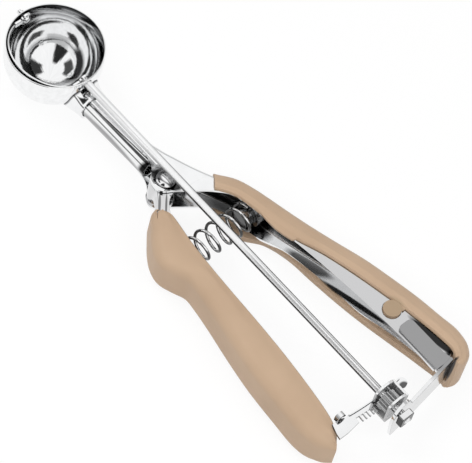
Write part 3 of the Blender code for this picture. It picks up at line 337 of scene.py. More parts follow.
SPHERE_Z = sqrt(BOWL_RADIUS**2 - FOOT_RADIUS**2)
BOWL_INNER = BOWL_RADIUS - BOWL_WALL
RACK_PITCH_RADIUS = (PINION_START - PIVOT_X + RACK_TIP) / 2
RACK_PITCH_ANGLE = RACK_PITCH / RACK_PITCH_RADIUS
RACK_ANGLE = asin(-PIVOT_Y / RACK_PITCH_RADIUS)

helpers = []


def mesh_of(bm, name):
    bmesh.ops.recalc_face_normals(bm, faces=bm.faces)
    mesh = bpy.data.meshes.new(name)
    bm.to_mesh(mesh)
    bm.free()
    return mesh


def add(name, data, helper=True):
    obj = bpy.data.objects.new(name, data)
    bpy.context.scene.collection.objects.link(obj)
    if helper:
        obj.hide_render = True
        helpers.append(obj)
    return obj


def drawn(name, sections):
    """A body through sections that all have the same number of points."""
    bm = bmesh.new()
    rings = [[bm.verts.new(point) for point in section] for section in sections]
    count = len(rings[0])
    for ring, following in zip(rings, rings[1:]):
        for i in range(count):
            bm.faces.new((ring[i], ring[(i + 1) % count], following[(i + 1) % count], following[i]))
    bm.faces.new(rings[0])
    bm.faces.new(rings[-1])
    return add(name, mesh_of(bm, name))


def lathe(name, profile, matrix=Matrix(), steps=64):
    """Turns a closed half profile of (radius, height) pairs about its own Z; its ends lie on the axis."""
    bm = bmesh.new()
    turns = [2 * pi * i / steps for i in range(steps)]
    rings = []
    for r, z in profile:
        if r < 1e-7:
            rings.append([bm.verts.new(matrix @ Vector((0, 0, z)))] * steps)
        else:
            rings.append([bm.verts.new(matrix @ Vector((r * cos(a), r * sin(a), z))) for a in turns])
    for ring, following in zip(rings, rings[1:]):
        for i in range(steps):
            corners = [ring[i], ring[(i + 1) % steps], following[(i + 1) % steps], following[i]]
            bm.faces.new(list(dict.fromkeys(corners)))
    return add(name, mesh_of(bm, name))


def rod_shape(name, radius, low, high, axis="Z", at=(0, 0), steps=48):
    place, turn = {
        "X": ((0, *at), Matrix.Rotation(pi / 2, 4, "Y")),
        "Y": ((at[0], 0, at[1]), Matrix.Rotation(-pi / 2, 4, "X")),
        "Z": ((*at, 0), Matrix()),
    }[axis]
    profile = [(0, low), (radius, low), (radius, high), (0, high)]
    return lathe(name, profile, Matrix.Translation(place) @ turn, steps)


def prism(name, outline, low, high):
    return drawn(name, [[(x, y, z) for x, y in outline] for z in (low, high)])


def slab(name, outline, start, end, lean=0):
    """An outline of (y, z) points made thick along X; lean moves it along X with y."""
    return drawn(name, [[(x + lean * y, y, z) for y, z in outline] for x in (start, end)])


def block(name, low, high):
    outline = [(low[0], low[1]), (high[0], low[1]), (high[0], high[1]), (low[0], high[1])]
    return prism(name, outline, low[2], high[2])


def boolean(obj, others, operation, own=False):
    for other in others:
        step = obj.modifiers.new(other.name, "BOOLEAN")
        step.operation = operation
        step.object = other
        step.use_self = own


def cut(obj, *others):
    boolean(obj, others, "DIFFERENCE")


def join(obj, *others, own=False):
    boolean(obj, others, "UNION", own)


def settle(obj, edge=0, angle=35):
    """Makes the modifiers real, shades smooth up to an angle, and rounds the edges that are sharper."""
    bpy.context.view_layer.update()
    graph = bpy.context.evaluated_depsgraph_get()
    mesh = bpy.data.meshes.new_from_object(obj.evaluated_get(graph))
    bm = bmesh.new()
    bm.from_mesh(mesh)
    bmesh.ops.remove_doubles(bm, verts=bm.verts, dist=0.002 * MM)
    bmesh.ops.dissolve_degenerate(bm, edges=bm.edges, dist=0.002 * MM)
    bm.to_mesh(mesh)
    bm.free()
    obj.modifiers.clear()
    obj.data = mesh
    mesh.shade_smooth()
    mesh.set_sharp_from_angle(angle=radians(angle))
    if edge:
        bevel = obj.modifiers.new("edges", "BEVEL")
        bevel.width = edge
        bevel.segments = 2
        bevel.limit_method = "ANGLE"
        bevel.angle_limit = radians(angle)
        bevel.harden_normals = True
        bevel.miter_outer = "MITER_ARC"
    obj.hide_render = False
    if obj in helpers:
        helpers.remove(obj)
    return obj


def stand_in(obj, finish, body, *nodes, slot="polished_steel"):
    """Gives a piece its finish and its body, and hides the CAD nodes that it stands for."""
    obj.data.materials.clear()
    obj.data.materials.append(finish)
    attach(obj, body)
    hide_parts(*nodes)
    return obj


def smooth_path(points, parts):
    """Catmull-Rom points through a list of plan points in mm, as plan vectors in metres."""
    knots = [Vector(p) * MM for p in points]
    knots = [2 * knots[0] - knots[1], *knots, 2 * knots[-1] - knots[-2]]
    path = []
    for a, b, c, d in zip(knots, knots[1:], knots[2:], knots[3:]):
        for step in range(parts):
            t = step / parts
            cubic = 3 * b - a - 3 * c + d
            path.append(0.5 * (2 * b + (c - a) * t + (2 * a - 5 * b + 4 * c - d) * t**2 + cubic * t**3))
    path.append(knots[-2])
    return path


def rails(parts, *lines):
    return zip(*(smooth_path(line, parts) for line in lines))


def smooth_values(values, parts):
    return [p.y / MM for p in smooth_path([(i, v) for i, v in enumerate(values)], parts)]


def offset_path(path, distance):
    moved = []
    for i, point in enumerate(path):
        along = path[min(i + 1, len(path) - 1)] - path[max(i - 1, 0)]
        along.normalize()
        moved.append(point + distance * Vector((-along.y, along.x)))
    return moved


def between(pair, share):
    return pair[0] + (pair[1] - pair[0]) * share


def eased(share):
    return share * share * (3 - 2 * share)


def arc(centre, radius, start, end, steps):
    angles = [radians(start + (end - start) * i / steps) for i in range(steps + 1)]
    return [(centre[0] + radius * cos(a), centre[1] + radius * sin(a)) for a in angles]


def across(outer, inner, distance, height):
    """The point at a height that lies a distance from one plan point towards another."""
    return Vector((*(outer + (inner - outer).normalized() * distance), height))


def channel_section(outer, top_edge, bottom_edge, high, low):
    """A C of sheet metal, open towards its two flange edges, with bent corners."""
    steps = 4
    bend = BEND_RADIUS
    tight = BEND_RADIUS - SHEET
    top_width = (top_edge - outer).length
    bottom_width = (bottom_edge - outer).length
    outline = [(top_width, high)]
    for middle, radius, start, end in (
        (high - bend, bend, 90, 0), (low + bend, bend, 0, -90), (low + bend, tight, -90, 0),
        (high - bend, tight, 0, 90),
    ):
        outline += [(bend - u, v) for u, v in arc((0, middle), radius, start, end, steps)]
        if end == -90:
            outline += [(bottom_width, low), (bottom_width, low + SHEET)]
    outline.append((top_width, high - SHEET))
    half = steps + 2
    points = []
    for index, (u, v) in enumerate(outline):
        edge = top_edge if index < half or index >= 3 * half else bottom_edge
        points.append(across(outer, edge, u, v))
    return points


def grip_section(outer, top_lip, bottom_lip, high, low):
    """The outside of a soft grip: a rounded outer side, gently crowned faces and rolled lips."""
    radius = min(GRIP_CORNER, 0.42 * (high - low), 0.55 * (top_lip - outer).length)
    lip = min(GRIP_LIP, 0.3 * radius)
    crown = 0.5 * MM
    points = []
    for edge, face, sign in ((top_lip, high, 1), (bottom_lip, low, -1)):
        width = (edge - outer).length
        flat = width - lip - radius
        run = []
        for a in (1.5708, 1.05, 0.52):
            run.append((width - lip + lip * sin(a), face - sign * lip * (1 - cos(a))))
        for i in range(6):
            share = i / 5
            run.append((radius + flat * (1 - share), face + sign * crown * (sin(pi * share) - 0.4)))
        corner = arc((0, face - sign * (radius + 0.4 * crown)), radius, 90 * sign, 0, 8)[1:]
        run += [(radius - u, v) for u, v in corner]
        run[0] = (run[0][0], run[0][1] - sign * 0.4 * crown)
        side = [across(outer, edge, u, v) for u, v in run]
        points += side if sign > 0 else list(reversed(side))
    return points


def bowl_arc(radius, start):
    angles = [start + (pi / 2 - start) * i / 40 for i in range(41)]
    return [(radius * sin(a), SPHERE_Z - radius * cos(a)) for a in angles]


def polar(radius, y):
    return Vector((PIVOT_X + sqrt(radius**2 - (y - PIVOT_Y) ** 2), y))


def arc_band(low_radius, high_radius, start_y, end_y):
    ys = [start_y + (end_y - start_y) * i / 24 for i in range(25)]
    return [polar(low_radius, y) for y in ys] + [polar(high_radius, y) for y in reversed(ys)]


def plan(points):
    return [Vector(p) * MM for p in points]


def make_bowl():
    outer = [(0, 0)] + bowl_arc(BOWL_RADIUS, asin(FOOT_RADIUS / BOWL_RADIUS))
    middle = BOWL_RADIUS - BOWL_WALL / 2
    lip = [(middle + u, v) for u, v in arc((0, RIM_Z - BOWL_WALL / 2), BOWL_WALL / 2, 0, 180, 6)]
    inner = list(reversed(bowl_arc(BOWL_INNER, 0)))
    bowl = lathe("bowl_shell", outer + lip + inner, steps=128)
    near = rod_shape("near_hole", ROD_RADIUS + GAP, 0.5 * BOWL_RADIUS, 1.5 * BOWL_RADIUS, "X", (0, ROD_Z), 32)
    far = rod_shape("far_hole", PIN_RADIUS + GAP, -1.5 * BOWL_RADIUS, -0.5 * BOWL_RADIUS, "X", (0, ROD_Z), 24)
    cut(bowl, near, far)
    return settle(bowl, angle=50)


def make_ferrule():
    outer = []
    inner = []
    middle_end = SHANK_HEIGHTS[0]
    half_end = SHANK_RADII[0] + GAP + FERRULE_WALL
    for i in range(17):
        share = i / 16
        ease = eased(share)
        x = between((FERRULE_START, FERRULE_END), share)
        half = between((FERRULE_HALF_WIDTH, half_end), ease)
        top = between((FERRULE_TOP, middle_end + half_end), ease)
        bottom = between((FERRULE_BOTTOM, middle_end - half_end), ease)
        power = 4 - 2 * ease
        for rings, wall in ((outer, 0), (inner, FERRULE_WALL)):
            ring = []
            for k in range(72):
                angle = 2 * pi * k / 72
                wide, tall = (copysign(abs(s) ** (2 / power), s) for s in (cos(angle), sin(angle)))
                rise = (top + bottom) / 2 + ((top - bottom) / 2 - wall) * tall
                ring.append(Vector((x, (half - wall) * wide, rise)))
            rings.append(ring)
    for point in inner[0]:
        point.x -= MM
    for point in inner[-1]:
        point.x += MM
    ferrule = drawn("ferrule_shell", outer)
    hollow = drawn("ferrule_hollow", inner)
    radius = BOWL_RADIUS + 0.05 * MM
    ball = lathe("ferrule_seat", bowl_arc(radius, 0) + [(radius, RIM_Z + MM), (0, RIM_Z + MM)], steps=128)
    mouth = block("ferrule_mouth", (0, -FERRULE_MOUTH / 2, SHANK_HEIGHTS[0]),
                  (FERRULE_END - FERRULE_BAND, FERRULE_MOUTH / 2, RIM_Z + MM))
    cut(ferrule, hollow, ball, mouth)
    return settle(ferrule, 0.15 * MM)


def make_fixed_handle():
    edges = rails(5, FIXED_OUTER, FIXED_TOP_EDGE, FIXED_BOTTOM_EDGE)
    sections = [channel_section(*points, CHANNEL_TOP, CHANNEL_BOTTOM) for points in edges]
    handle = drawn("handle_stamping", sections)
    rings = []
    for i in range(13):
        share = i / 12
        x = between((SHANK_START, SHANK_END), share)
        radius = between(SHANK_RADII, share)
        height = between(SHANK_HEIGHTS, share)
        lean = between(SEAM_LEANS, share)
        groove = SEAM_WIDTH / 2 / radius
        lips = [0.04, groove - 0.04, groove]
        body = [groove + 0.05 + (2 * pi - 2 * groove - 0.1) * k / 64 for k in range(65)]
        angles = lips + body + [2 * pi - a for a in reversed(lips)]
        points = [(a, radius - (SEAM_DEPTH if min(a, 2 * pi - a) < groove - 0.01 else 0)) for a in angles]
        points += [(a, radius - SHANK_WALL) for a in reversed(angles)]
        rings.append([Vector((x, -r * sin(a + lean), height + r * cos(a + lean))) for a, r in points])
    join(handle, drawn("shank_tube", rings))
    cut(handle, rod_shape("boss_hole", BOSS_RADIUS + GAP, CHANNEL_TOP - 2 * SHEET, GRIP_TOP, "Z", BOSS))
    dish = [(0, -DISH_DEPTH), (0.72, -DISH_DEPTH), (0.86, -0.62 * DISH_DEPTH), (1, 0), (1.03, MM), (0, MM)]
    place = Matrix.Translation((PIVOT_X, PIVOT_Y, CHANNEL_TOP)) @ Matrix.Rotation(DISH_TURN, 4, "Z")
    place = place @ Matrix.Diagonal((DISH_HALF[0], DISH_HALF[1], 1, 1))
    cut(handle, lathe("pivot_dish", dish, place))
    return settle(handle, 0.2 * MM)


def make_lever():
    parts = 5
    lifts = smooth_values(LEVER_NECK_LIFT, parts)
    sections = []
    for index, (outer, edge) in enumerate(rails(parts, LEVER_OUTER, LEVER_EDGE)):
        ease = eased(min(max((index / parts - LEVER_RISE[0]) / (LEVER_RISE[1] - LEVER_RISE[0]), 0), 1))
        high = between((EAR_TOP, CHANNEL_TOP), ease)
        low = between((EAR_BOTTOM, CHANNEL_BOTTOM), ease) + max(lifts[index], 0) * MM
        sections.append(channel_section(outer, edge, edge, high, low))
    return settle(drawn("lever_stamping", sections), 0.2 * MM)


def cavity(name, outer, low, high, side, ends):
    """The room for a channel inside its grip, open towards the other handle."""
    wall = offset_path(outer, side * CAVITY_PLAY)
    inner_y = -side * 6 * MM
    end = wall[-1].x + ends
    outline = [*wall, (end, wall[-1].y), (end, inner_y), (wall[0].x, inner_y)]
    return prism(name, outline, low - CAVITY_PLAY, high + CAVITY_PLAY)


def make_right_grip():
    edges = rails(6, RIGHT_GRIP_OUTER, RIGHT_GRIP_TOP, RIGHT_GRIP_BOTTOM)
    grip = drawn("right_grip_shell", [grip_section(*points, GRIP_TOP, 0) for points in edges])
    wall = smooth_path(FIXED_OUTER, 5)[25:]
    cut(grip, cavity("right_cavity", wall, CHANNEL_BOTTOM, CHANNEL_TOP, 1, 1.6 * MM))
    boss = rod_shape("grip_boss", BOSS_RADIUS, CHANNEL_TOP - 2.2 * MM, GRIP_TOP - 0.35 * MM, "Z", BOSS)
    tongue = rod_shape("boss_tongue", 0.8 * BOSS_RADIUS, CHANNEL_TOP + 0.42 * MM, GRIP_TOP - 0.5 * MM, "Z",
                       (BOSS[0] + 0.1 * BOSS_RADIUS, BOSS[1] + 0.87 * BOSS_RADIUS), 44)
    corner = prism("grip_corner", plan(GRIP_CORNER_PLAN), CHANNEL_TOP + CAVITY_PLAY, GRIP_TOP - 0.25 * MM)
    join(grip, boss, tongue, corner, own=True)
    far = ARM_FAR_Y + GAP
    low = ARM_OUTLINE[-1][1] * MM - GAP
    outline = [(far, low), (far, 30 * MM), (0, 30 * MM), (0, low)]
    slot = slab("arm_slot", outline, ARM_ROD_X - ARM_SHEET - 2 * GAP, ARM_ROD_X + 2 * GAP, -ARM_LEAN)
    join(slot, block("tab_room", (TAB_START - 2 * MM, 12 * MM, CHANNEL_TOP + CAVITY_PLAY),
                     (ARM_FAR_X, TAB_OUTER + GAP, 28 * MM)))
    cut(grip, slot)
    return settle(grip, 0.35 * MM, angle=42)


def make_left_grip():
    draws = smooth_values(LEFT_GRIP_DRAW_IN, 6)
    sections = []
    for (outer, lip), draw in zip(rails(6, LEFT_GRIP_OUTER, LEFT_GRIP_LIP), draws):
        draw = max(draw, 0) * MM
        sections.append(grip_section(outer, lip, lip, GRIP_TOP - draw, draw))
    grip = drawn("left_grip_shell", sections)
    wall = smooth_path(LEVER_OUTER, 5)
    ear = cavity("left_ear_cavity", wall[15:36], EAR_BOTTOM + LEVER_NECK_LIFT[6] * MM, EAR_TOP, -1, 0)
    full = cavity("left_cavity", wall[30:], CHANNEL_BOTTOM, CHANNEL_TOP, -1, 0.6 * MM)
    cut(grip, ear, full)
    outline = plan([(x + (0.2 if x > 192 else -0.2), y + (0.2 if y > -22 else -0.2)) for x, y in RACK_GUSSET])
    cut(grip, prism("gusset_room", outline, RACK_TOP - RACK_THICK - GAP, RACK_TOP + 2 * MM))
    return settle(grip, 0.35 * MM, angle=42)


def make_pivot():
    dome = [(PIVOT_HEAD * sin(a), PIVOT_RISE * cos(a)) for a in [0.12 * i for i in range(13)]]
    profile = [(r, CHANNEL_TOP + rise) for r, rise in dome]
    profile += [(PIVOT_RADIUS, CHANNEL_TOP), (PIVOT_RADIUS, CHANNEL_BOTTOM)]
    profile += [(r, CHANNEL_BOTTOM - rise) for r, rise in reversed(dome)]
    return settle(lathe("pivot_head", profile, Matrix.Translation((PIVOT_X, PIVOT_Y, 0))))


def make_spring():
    """The same helix as the solid, with more points along and round the wire."""
    per_turn = 32
    count = SPRING_TURNS * per_turn
    start, end = SPRING_ENDS
    length = end - start - 2 * SPRING_WIRE
    line = []
    for i in range(count + 1):
        share = i / count
        closer_ends = share - 0.035 * sin(2 * pi * share)
        angle = 2 * pi * i / per_turn
        line.append(Vector((SPRING_X + SPRING_RADIUS * sin(angle), start + SPRING_WIRE + length * closer_ends,
                            SPRING_Z + SPRING_RADIUS * cos(angle))))
    rings = []
    for i, point in enumerate(line):
        along = (line[min(i + 1, count)] - line[max(i - 1, 0)]).normalized()
        out = (point - Vector((SPRING_X, point.y, SPRING_Z))).normalized()
        side = along.cross(out).normalized()
        rings.append([point + SPRING_WIRE * (cos(a) * out + sin(a) * side)
                      for a in [2 * pi * k / 14 for k in range(14)]])
    return settle(drawn("spring_wire", rings), angle=60)


def make_seat(name, side, stud_radius):
    end = SPRING_ENDS[1] if side > 0 else SPRING_ENDS[0]
    place = (SPRING_X, SPRING_Z)
    seat = rod_shape(name, SEAT_FLANGE, *sorted((end + side * GAP, end + side * 7 * MM)), "Y", place)
    ends = sorted((end - side * SEAT_LENGTH, end + side * MM))
    join(seat, rod_shape(f"{name}_stud", stud_radius, *ends, "Y", place))
    wall = smooth_path(FIXED_OUTER, 5)[30:80] if side > 0 else smooth_path(LEVER_OUTER, 5)[30:66]
    wall = offset_path(wall, -side * (SHEET + 0.1 * MM))
    far = side * 55 * MM
    cut(seat, prism(f"{name}_cut", [*wall, (wall[-1].x, far), (wall[0].x, far)], 0, CHANNEL_TOP))
    return settle(seat, 0.2 * MM)


def make_rack():
    low, high = RACK_TOP - RACK_THICK, RACK_TOP
    band = RACK_INNER + RACK_BAND
    rack = prism("rack_comb", arc_band(RACK_INNER, band, -15.4 * MM, RACK_NUB_Y), low, high)
    centre = Vector((PIVOT_X, PIVOT_Y))
    for index in range(RACK_FINGERS):
        angle = RACK_ANGLE + (0.5 - index) * RACK_PITCH_ANGLE
        out = Vector((cos(angle), sin(angle)))
        side = Vector((-out.y, out.x)) * RACK_FINGER / 2
        root, shoulder, tip = (centre + out * r for r in (band - 0.8 * MM, RACK_TIP - 0.5 * MM, RACK_TIP))
        half = [(root, 1), (shoulder, 1), (tip, 0.4)]
        finger = [place - share * side for place, share in half]
        finger += [place + share * side for place, share in reversed(half)]
        join(rack, prism(f"finger_{index}", finger, low, high))
    middle = polar(RACK_INNER + RACK_NUB_RADIUS, RACK_NUB_Y)
    join(rack, rod_shape("rack_nub", RACK_NUB_RADIUS, low, high, "Z", (middle.x, middle.y), 40))
    join(rack, prism("rack_bead", arc_band(RACK_INNER, RACK_INNER + RACK_BEAD, -15 * MM, RACK_NUB_Y),
                     high - 0.3 * MM, high + RACK_BEAD))
    join(rack, prism("rack_gusset", plan(RACK_GUSSET), low, high))
    base_high = CHANNEL_TOP - SHEET - GAP
    base_low = base_high - RACK_THICK
    join(rack, prism("rack_riser", plan(RACK_RISER), base_low, high))
    join(rack, prism("rack_base", plan(RACK_BASE), base_low, base_high))
    curl_x, curl_y = RACK_CURL
    outer, inner = (arc((curl_y, high + CURL_RISE), radius, 180, 0, 12) for radius in CURL_RADII)
    foot = low + 0.4 * MM
    outline = [(outer[0][0], foot), *outer, *reversed(inner), (inner[0][0], foot)]
    join(rack, slab("rack_curl", outline, curl_x, curl_x + CURL_WIDTH))
    return settle(rack, 0.15 * MM)


def make_pinion():
    outline = []
    root_half = asin(PINION_TOOTH / 2 / PINION_ROOT)
    tip_half = asin(PINION_TOOTH_TIP / 2 / PINION_TIP)
    chamfer = PINION_TIP - 0.3 * MM
    step = 2 * pi / PINION_TEETH
    for tooth in range(PINION_TEETH):
        middle = -pi / 2 + tooth * step
        for radius, turn in (
            (PINION_ROOT, -root_half), (chamfer, -1.4 * tip_half), (PINION_TIP, -0.8 * tip_half),
            (PINION_TIP, 0.8 * tip_half), (chamfer, 1.4 * tip_half), (PINION_ROOT, root_half),
            (PINION_ROOT, step / 2),
        ):
            outline.append((radius * cos(middle + turn), ROD_Z + radius * sin(middle + turn)))
    return settle(slab("pinion_gear", outline, PINION_START, PINION_END), 0.12 * MM)


def make_guide():
    near, far = GUIDE_NEAR_Y, GUIDE_FAR_Y
    guide = block("guide_box", (GUIDE_START, near, GUIDE_BOTTOM), (GUIDE_END, far, GUIDE_TOP))
    middle = (near + far) / 2
    crown = (far - near) / 2 - 0.8 * MM
    left, right = middle - crown, middle + crown
    outline = [(left, GUIDE_TOP - MM), (right, GUIDE_TOP - MM), (right, GUIDE_TOP)]
    for a in [0.2 * i for i in range(1, 15)]:
        outline.append((middle + crown * cos(a), GUIDE_TOP + GUIDE_CROWN * sin(a)))
    outline.append((left, GUIDE_TOP))
    for index, x in enumerate((GUIDE_START, GUIDE_END - GUIDE_SHEET)):
        join(guide, slab(f"guide_crown_{index}", outline, x, x + GUIDE_SHEET))
    inside = block("guide_inside", (GUIDE_START + GUIDE_SHEET, 2 * near, GUIDE_BOTTOM + GUIDE_SHEET),
                   (GUIDE_END - GUIDE_SHEET, far - GUIDE_SHEET, GUIDE_TOP + 5 * MM))
    slot = block("guide_slot", (GUIDE_START - MM, 2 * near, RACK_TOP - RACK_THICK - GAP),
                 (PIVOT_X + RACK_TIP + GAP, 2 * far, RACK_TOP + RACK_BEAD + GAP))
    cut(guide, inside, slot)
    return settle(guide, 0.2 * MM)


def make_arm():
    arm = slab("arm_plate", smooth_path(ARM_OUTLINE, 4), ARM_ROD_X - ARM_SHEET, ARM_ROD_X, -ARM_LEAN)
    low = CHANNEL_TOP + 0.1 * MM
    end = ARM_FAR_X - 0.5 * ARM_SHEET
    c = TAB_CORNER
    tab = [(TAB_START + c, TAB_INNER), (end, TAB_INNER), (end, ARM_FAR_Y), (end - 2 * c, TAB_OUTER)]
    tab += [(TAB_START + c - c * sin(a), TAB_OUTER - c + c * cos(a)) for a in (0, 0.4, 0.8, 1.2, 1.57)]
    tab += [(TAB_START + c - c * cos(a), TAB_INNER + c - c * sin(a)) for a in (0, 0.4, 0.8, 1.2)]
    join(arm, prism("arm_tab", tab, low, low + SHEET))
    return settle(arm, 0.25 * MM)


def make_nut():
    a = NUT_FLATS / 2
    b = a - 0.6 * MM
    corners = [(-a, -b), (-b, -a), (b, -a), (a, -b), (a, b), (b, a), (-b, a), (-a, b)]
    start = ARM_ROD_X + NUT_START
    outline = [(y, ROD_Z + z) for y, z in corners]
    return settle(slab("nut_block", outline, start, start + NUT_THICK), 0.3 * MM)


def make_blade():
    reach = BOWL_INNER - GAP
    rings = []
    steps = 72
    for i in range(steps + 1):
        t = -BLADE_END_ANGLE + 2 * BLADE_END_ANGLE * i / steps
        width = BLADE_END_WIDTH + (BLADE_WIDTH - BLADE_END_WIDTH) * cos(t) ** 0.7
        ring = []
        for radius, sides in ((reach, (-1, -0.5, 0, 0.5, 1)), (reach - BLADE_THICK, (1, 0.5, 0, -0.5, -1))):
            for side in sides:
                tilt = side * width / 2 / radius
                ring.append(Vector((radius * sin(t), -radius * cos(t) * cos(tilt),
                                    ROD_Z + radius * cos(t) * sin(tilt))))
        rings.append(ring)
    blade = drawn("blade_strip", rings)
    lug_out = reach * sin(BLADE_END_ANGLE)
    near_in = lug_out - LUG_THICK
    arm_half = BLADE_END_WIDTH / 2 * cos(BLADE_END_ANGLE)
    end_y = -reach * cos(BLADE_END_ANGLE)
    for side in (-1, 1):
        low, high = sorted((side * near_in, side * lug_out))
        lug = rod_shape(f"lug_{side}", LUG_RADIUS, low, high, "X", (0, ROD_Z), 40)
        tab = block(f"lug_tab_{side}", (low, end_y - 0.4 * MM, ROD_Z - 2.4 * arm_half),
                    (high, 0, ROD_Z + 2.4 * arm_half))
        join(blade, lug, tab)
    return settle(blade, 0.12 * MM, angle=45), near_in


def make_rod(near_in):
    along_x = Matrix.Translation((0, 0, ROD_Z)) @ Matrix.Rotation(pi / 2, 4, "Y")
    end = ARM_ROD_X + NUT_START + NUT_THICK + 0.4 * MM
    r = ROD_RADIUS
    stake = near_in - 0.8 * MM
    profile = [
        (0, end), (r - 0.5 * MM, end), (r - 0.1 * MM, end - 0.4 * MM), (r, end - 0.6 * MM), (r, near_in),
        (STAKE_RADIUS, near_in), (STAKE_RADIUS - 0.2 * MM, near_in - 0.4 * MM), (1.3 * MM, stake), (0, stake),
    ]
    rod = settle(lathe("rod_wire", profile, along_x))
    head = PIN_HEAD
    pin = PIN_RADIUS
    wall = -(BOWL_RADIUS + 0.1 * MM)
    out = -(BOWL_RADIUS + 2.4 * MM)
    inside = -near_in
    profile = [
        (0, inside + 0.8 * MM), (head * 0.7, inside + 0.8 * MM), (head, inside + 0.3 * MM), (head, inside),
        (pin, inside), (pin, wall), (head, wall), (head, wall - 0.9 * MM), (pin, wall - 1.2 * MM),
        (pin, out + 0.3 * MM), (pin - 0.3 * MM, out), (0, out),
    ]
    return rod, settle(lathe("pin_head", profile, along_x, 40))


def make_rivets(name, places, low, high, rise):
    head = RIVET_HEAD
    foot = low - 0.4 * MM
    dome = [(head * sin(a), high + rise * cos(a)) for a in [0.13 * i for i in range(1, 13)]]
    profile = [(0, high + rise), *dome, (head, high), (RIVET_RADIUS, high), (RIVET_RADIUS, low), (head, low),
               (head, foot), (0, foot)]
    rivets = []
    for index, (x, y) in enumerate(places):
        rivets.append(lathe(f"{name}_{index}", profile, Matrix.Translation((x * MM, y * MM, 0)), 36))
    join(rivets[0], *rivets[1:])
    return settle(rivets[0])


def node_material(name):
    made = bpy.data.materials.new(name)
    made.use_nodes = True
    tree = made.node_tree
    return made, tree, tree.nodes["Principled BSDF"], tree.nodes.new("ShaderNodeTexCoord")


def put(tree, socket, value):
    """Links an input to another socket, or sets it to a value."""
    if isinstance(value, bpy.types.NodeSocket):
        tree.links.new(value, socket)
    else:
        socket.default_value = (*value, 1) if socket.type == "RGBA" else value


def feed(tree, made, **inputs):
    """Fills a node's inputs by name, with an underscore for a space."""
    for name, value in inputs.items():
        put(tree, made.inputs[name.replace("_", " ")], value)
    return made


def node(tree, kind, **inputs):
    return feed(tree, tree.nodes.new(kind), **inputs)


def fill(tree, made, values):
    for socket, value in zip(made.inputs, values):
        put(tree, socket, value)


def worked(tree, operation, *values, kind="Math"):
    """The result of a sum on values that are sockets or numbers, or vectors for the kind VectorMath."""
    made = tree.nodes.new(f"ShaderNode{kind}")
    made.operation = operation
    fill(tree, made, values)
    return made.outputs["Value"]


def noise_at(tree, vector, scale, detail):
    return node(tree, "ShaderNodeTexNoise", Vector=vector, Scale=scale, Detail=detail).outputs["Fac"]


def noise(tree, coords, scale, stretch=(1, 1, 1), detail=4):
    place = node(tree, "ShaderNodeMapping", Vector=coords.outputs["Object"], Scale=stretch)
    return noise_at(tree, place.outputs["Vector"], scale, detail)


def ranged(tree, value, low, high, start=0.3, end=0.7):
    made = tree.nodes.new("ShaderNodeMapRange")
    feed(tree, made, Value=value, From_Min=start, From_Max=end, To_Min=low, To_Max=high)
    return made.outputs["Result"]


def mixed(tree, factor, first, second, blend="MIX"):
    made = tree.nodes.new("ShaderNodeMix")
    made.data_type = "RGBA"
    made.blend_type = blend
    return feed(tree, made, Factor=factor, A=first, B=second).outputs["Result"]


def bumped(tree, height, strength, distance):
    return node(tree, "ShaderNodeBump", Height=height, Strength=strength, Distance=distance).outputs["Normal"]


def axes_of(tree, vector):
    return node(tree, "ShaderNodeSeparateXYZ", Vector=vector).outputs[:]


def reopened(made):
    """A finished material's nodes, its shader, the tone that feeds it and new coordinates."""
    tree = made.node_tree
    shader = tree.nodes["Principled BSDF"]
    tone = shader.inputs["Base Color"].links[0].from_socket
    return tree, shader, tone, tree.nodes.new("ShaderNodeTexCoord")


def spun_steel():
    """The bowl's steel: streaks that run out from its middle, and on its inner wall painted reflections: grey
    and black rings towards the rim, and black places.
    """
    made, tree, shader, coords = node_material("spun_steel")
    x, y, z = axes_of(tree, coords.outputs["Object"])
    turn = worked(tree, "ARCTAN2", y, x)
    around = node(tree, "ShaderNodeCombineXYZ", X=turn, Y=worked(tree, "MULTIPLY", z, 40))
    streaks = noise_at(tree, around.outputs["Vector"], 9, 4)
    tone = mixed(tree, ranged(tree, streaks, 0, 1), (0.87, 0.875, 0.88), (0.94, 0.945, 0.95))
    # Painted reflections: grey and black rings on the upper part of the inner wall
    ring = ranged(tree, noise(tree, coords, 1, (18, 18, 620), 3), 0, 1, 0.42, 0.62)
    rings = mixed(tree, ring, PAINTED_BLACK, (0.62, 0.625, 0.63))
    squares = worked(tree, "ADD", worked(tree, "POWER", x, 2), worked(tree, "POWER", y, 2))
    wide = worked(tree, "SQRT", squares)
    inside = ranged(tree, wide, 1, 0, BOWL_INNER + 0.15 * MM, BOWL_INNER + 0.25 * MM)
    band = worked(tree, "MULTIPLY", inside, ranged(tree, z, 0, 1, 17 * MM, 21.5 * MM))
    tone = mixed(tree, band, tone, rings)
    # Painted dark reflections on the inner wall
    for (along_x, along_y), start, end, low, high in BOWL_PAINTED_REFLECTIONS:
        side = worked(tree, "ADD", worked(tree, "MULTIPLY", x, along_x / BOWL_RADIUS),
                      worked(tree, "MULTIPLY", y, along_y / BOWL_RADIUS))
        wall = worked(tree, "MULTIPLY", inside, ranged(tree, z, 0, 1, low, high))
        dark_reflection = worked(tree, "MULTIPLY", wall, ranged(tree, side, 0, 1, start, end))
        tone = mixed(tree, dark_reflection, tone, (0.03, 0.03, 0.031))
    feed(tree, shader, Metallic=1, Base_Color=tone, Roughness=ranged(tree, streaks, 0.04, 0.09),
         Normal=bumped(tree, streaks, 0.05, 0.0004))
    return made


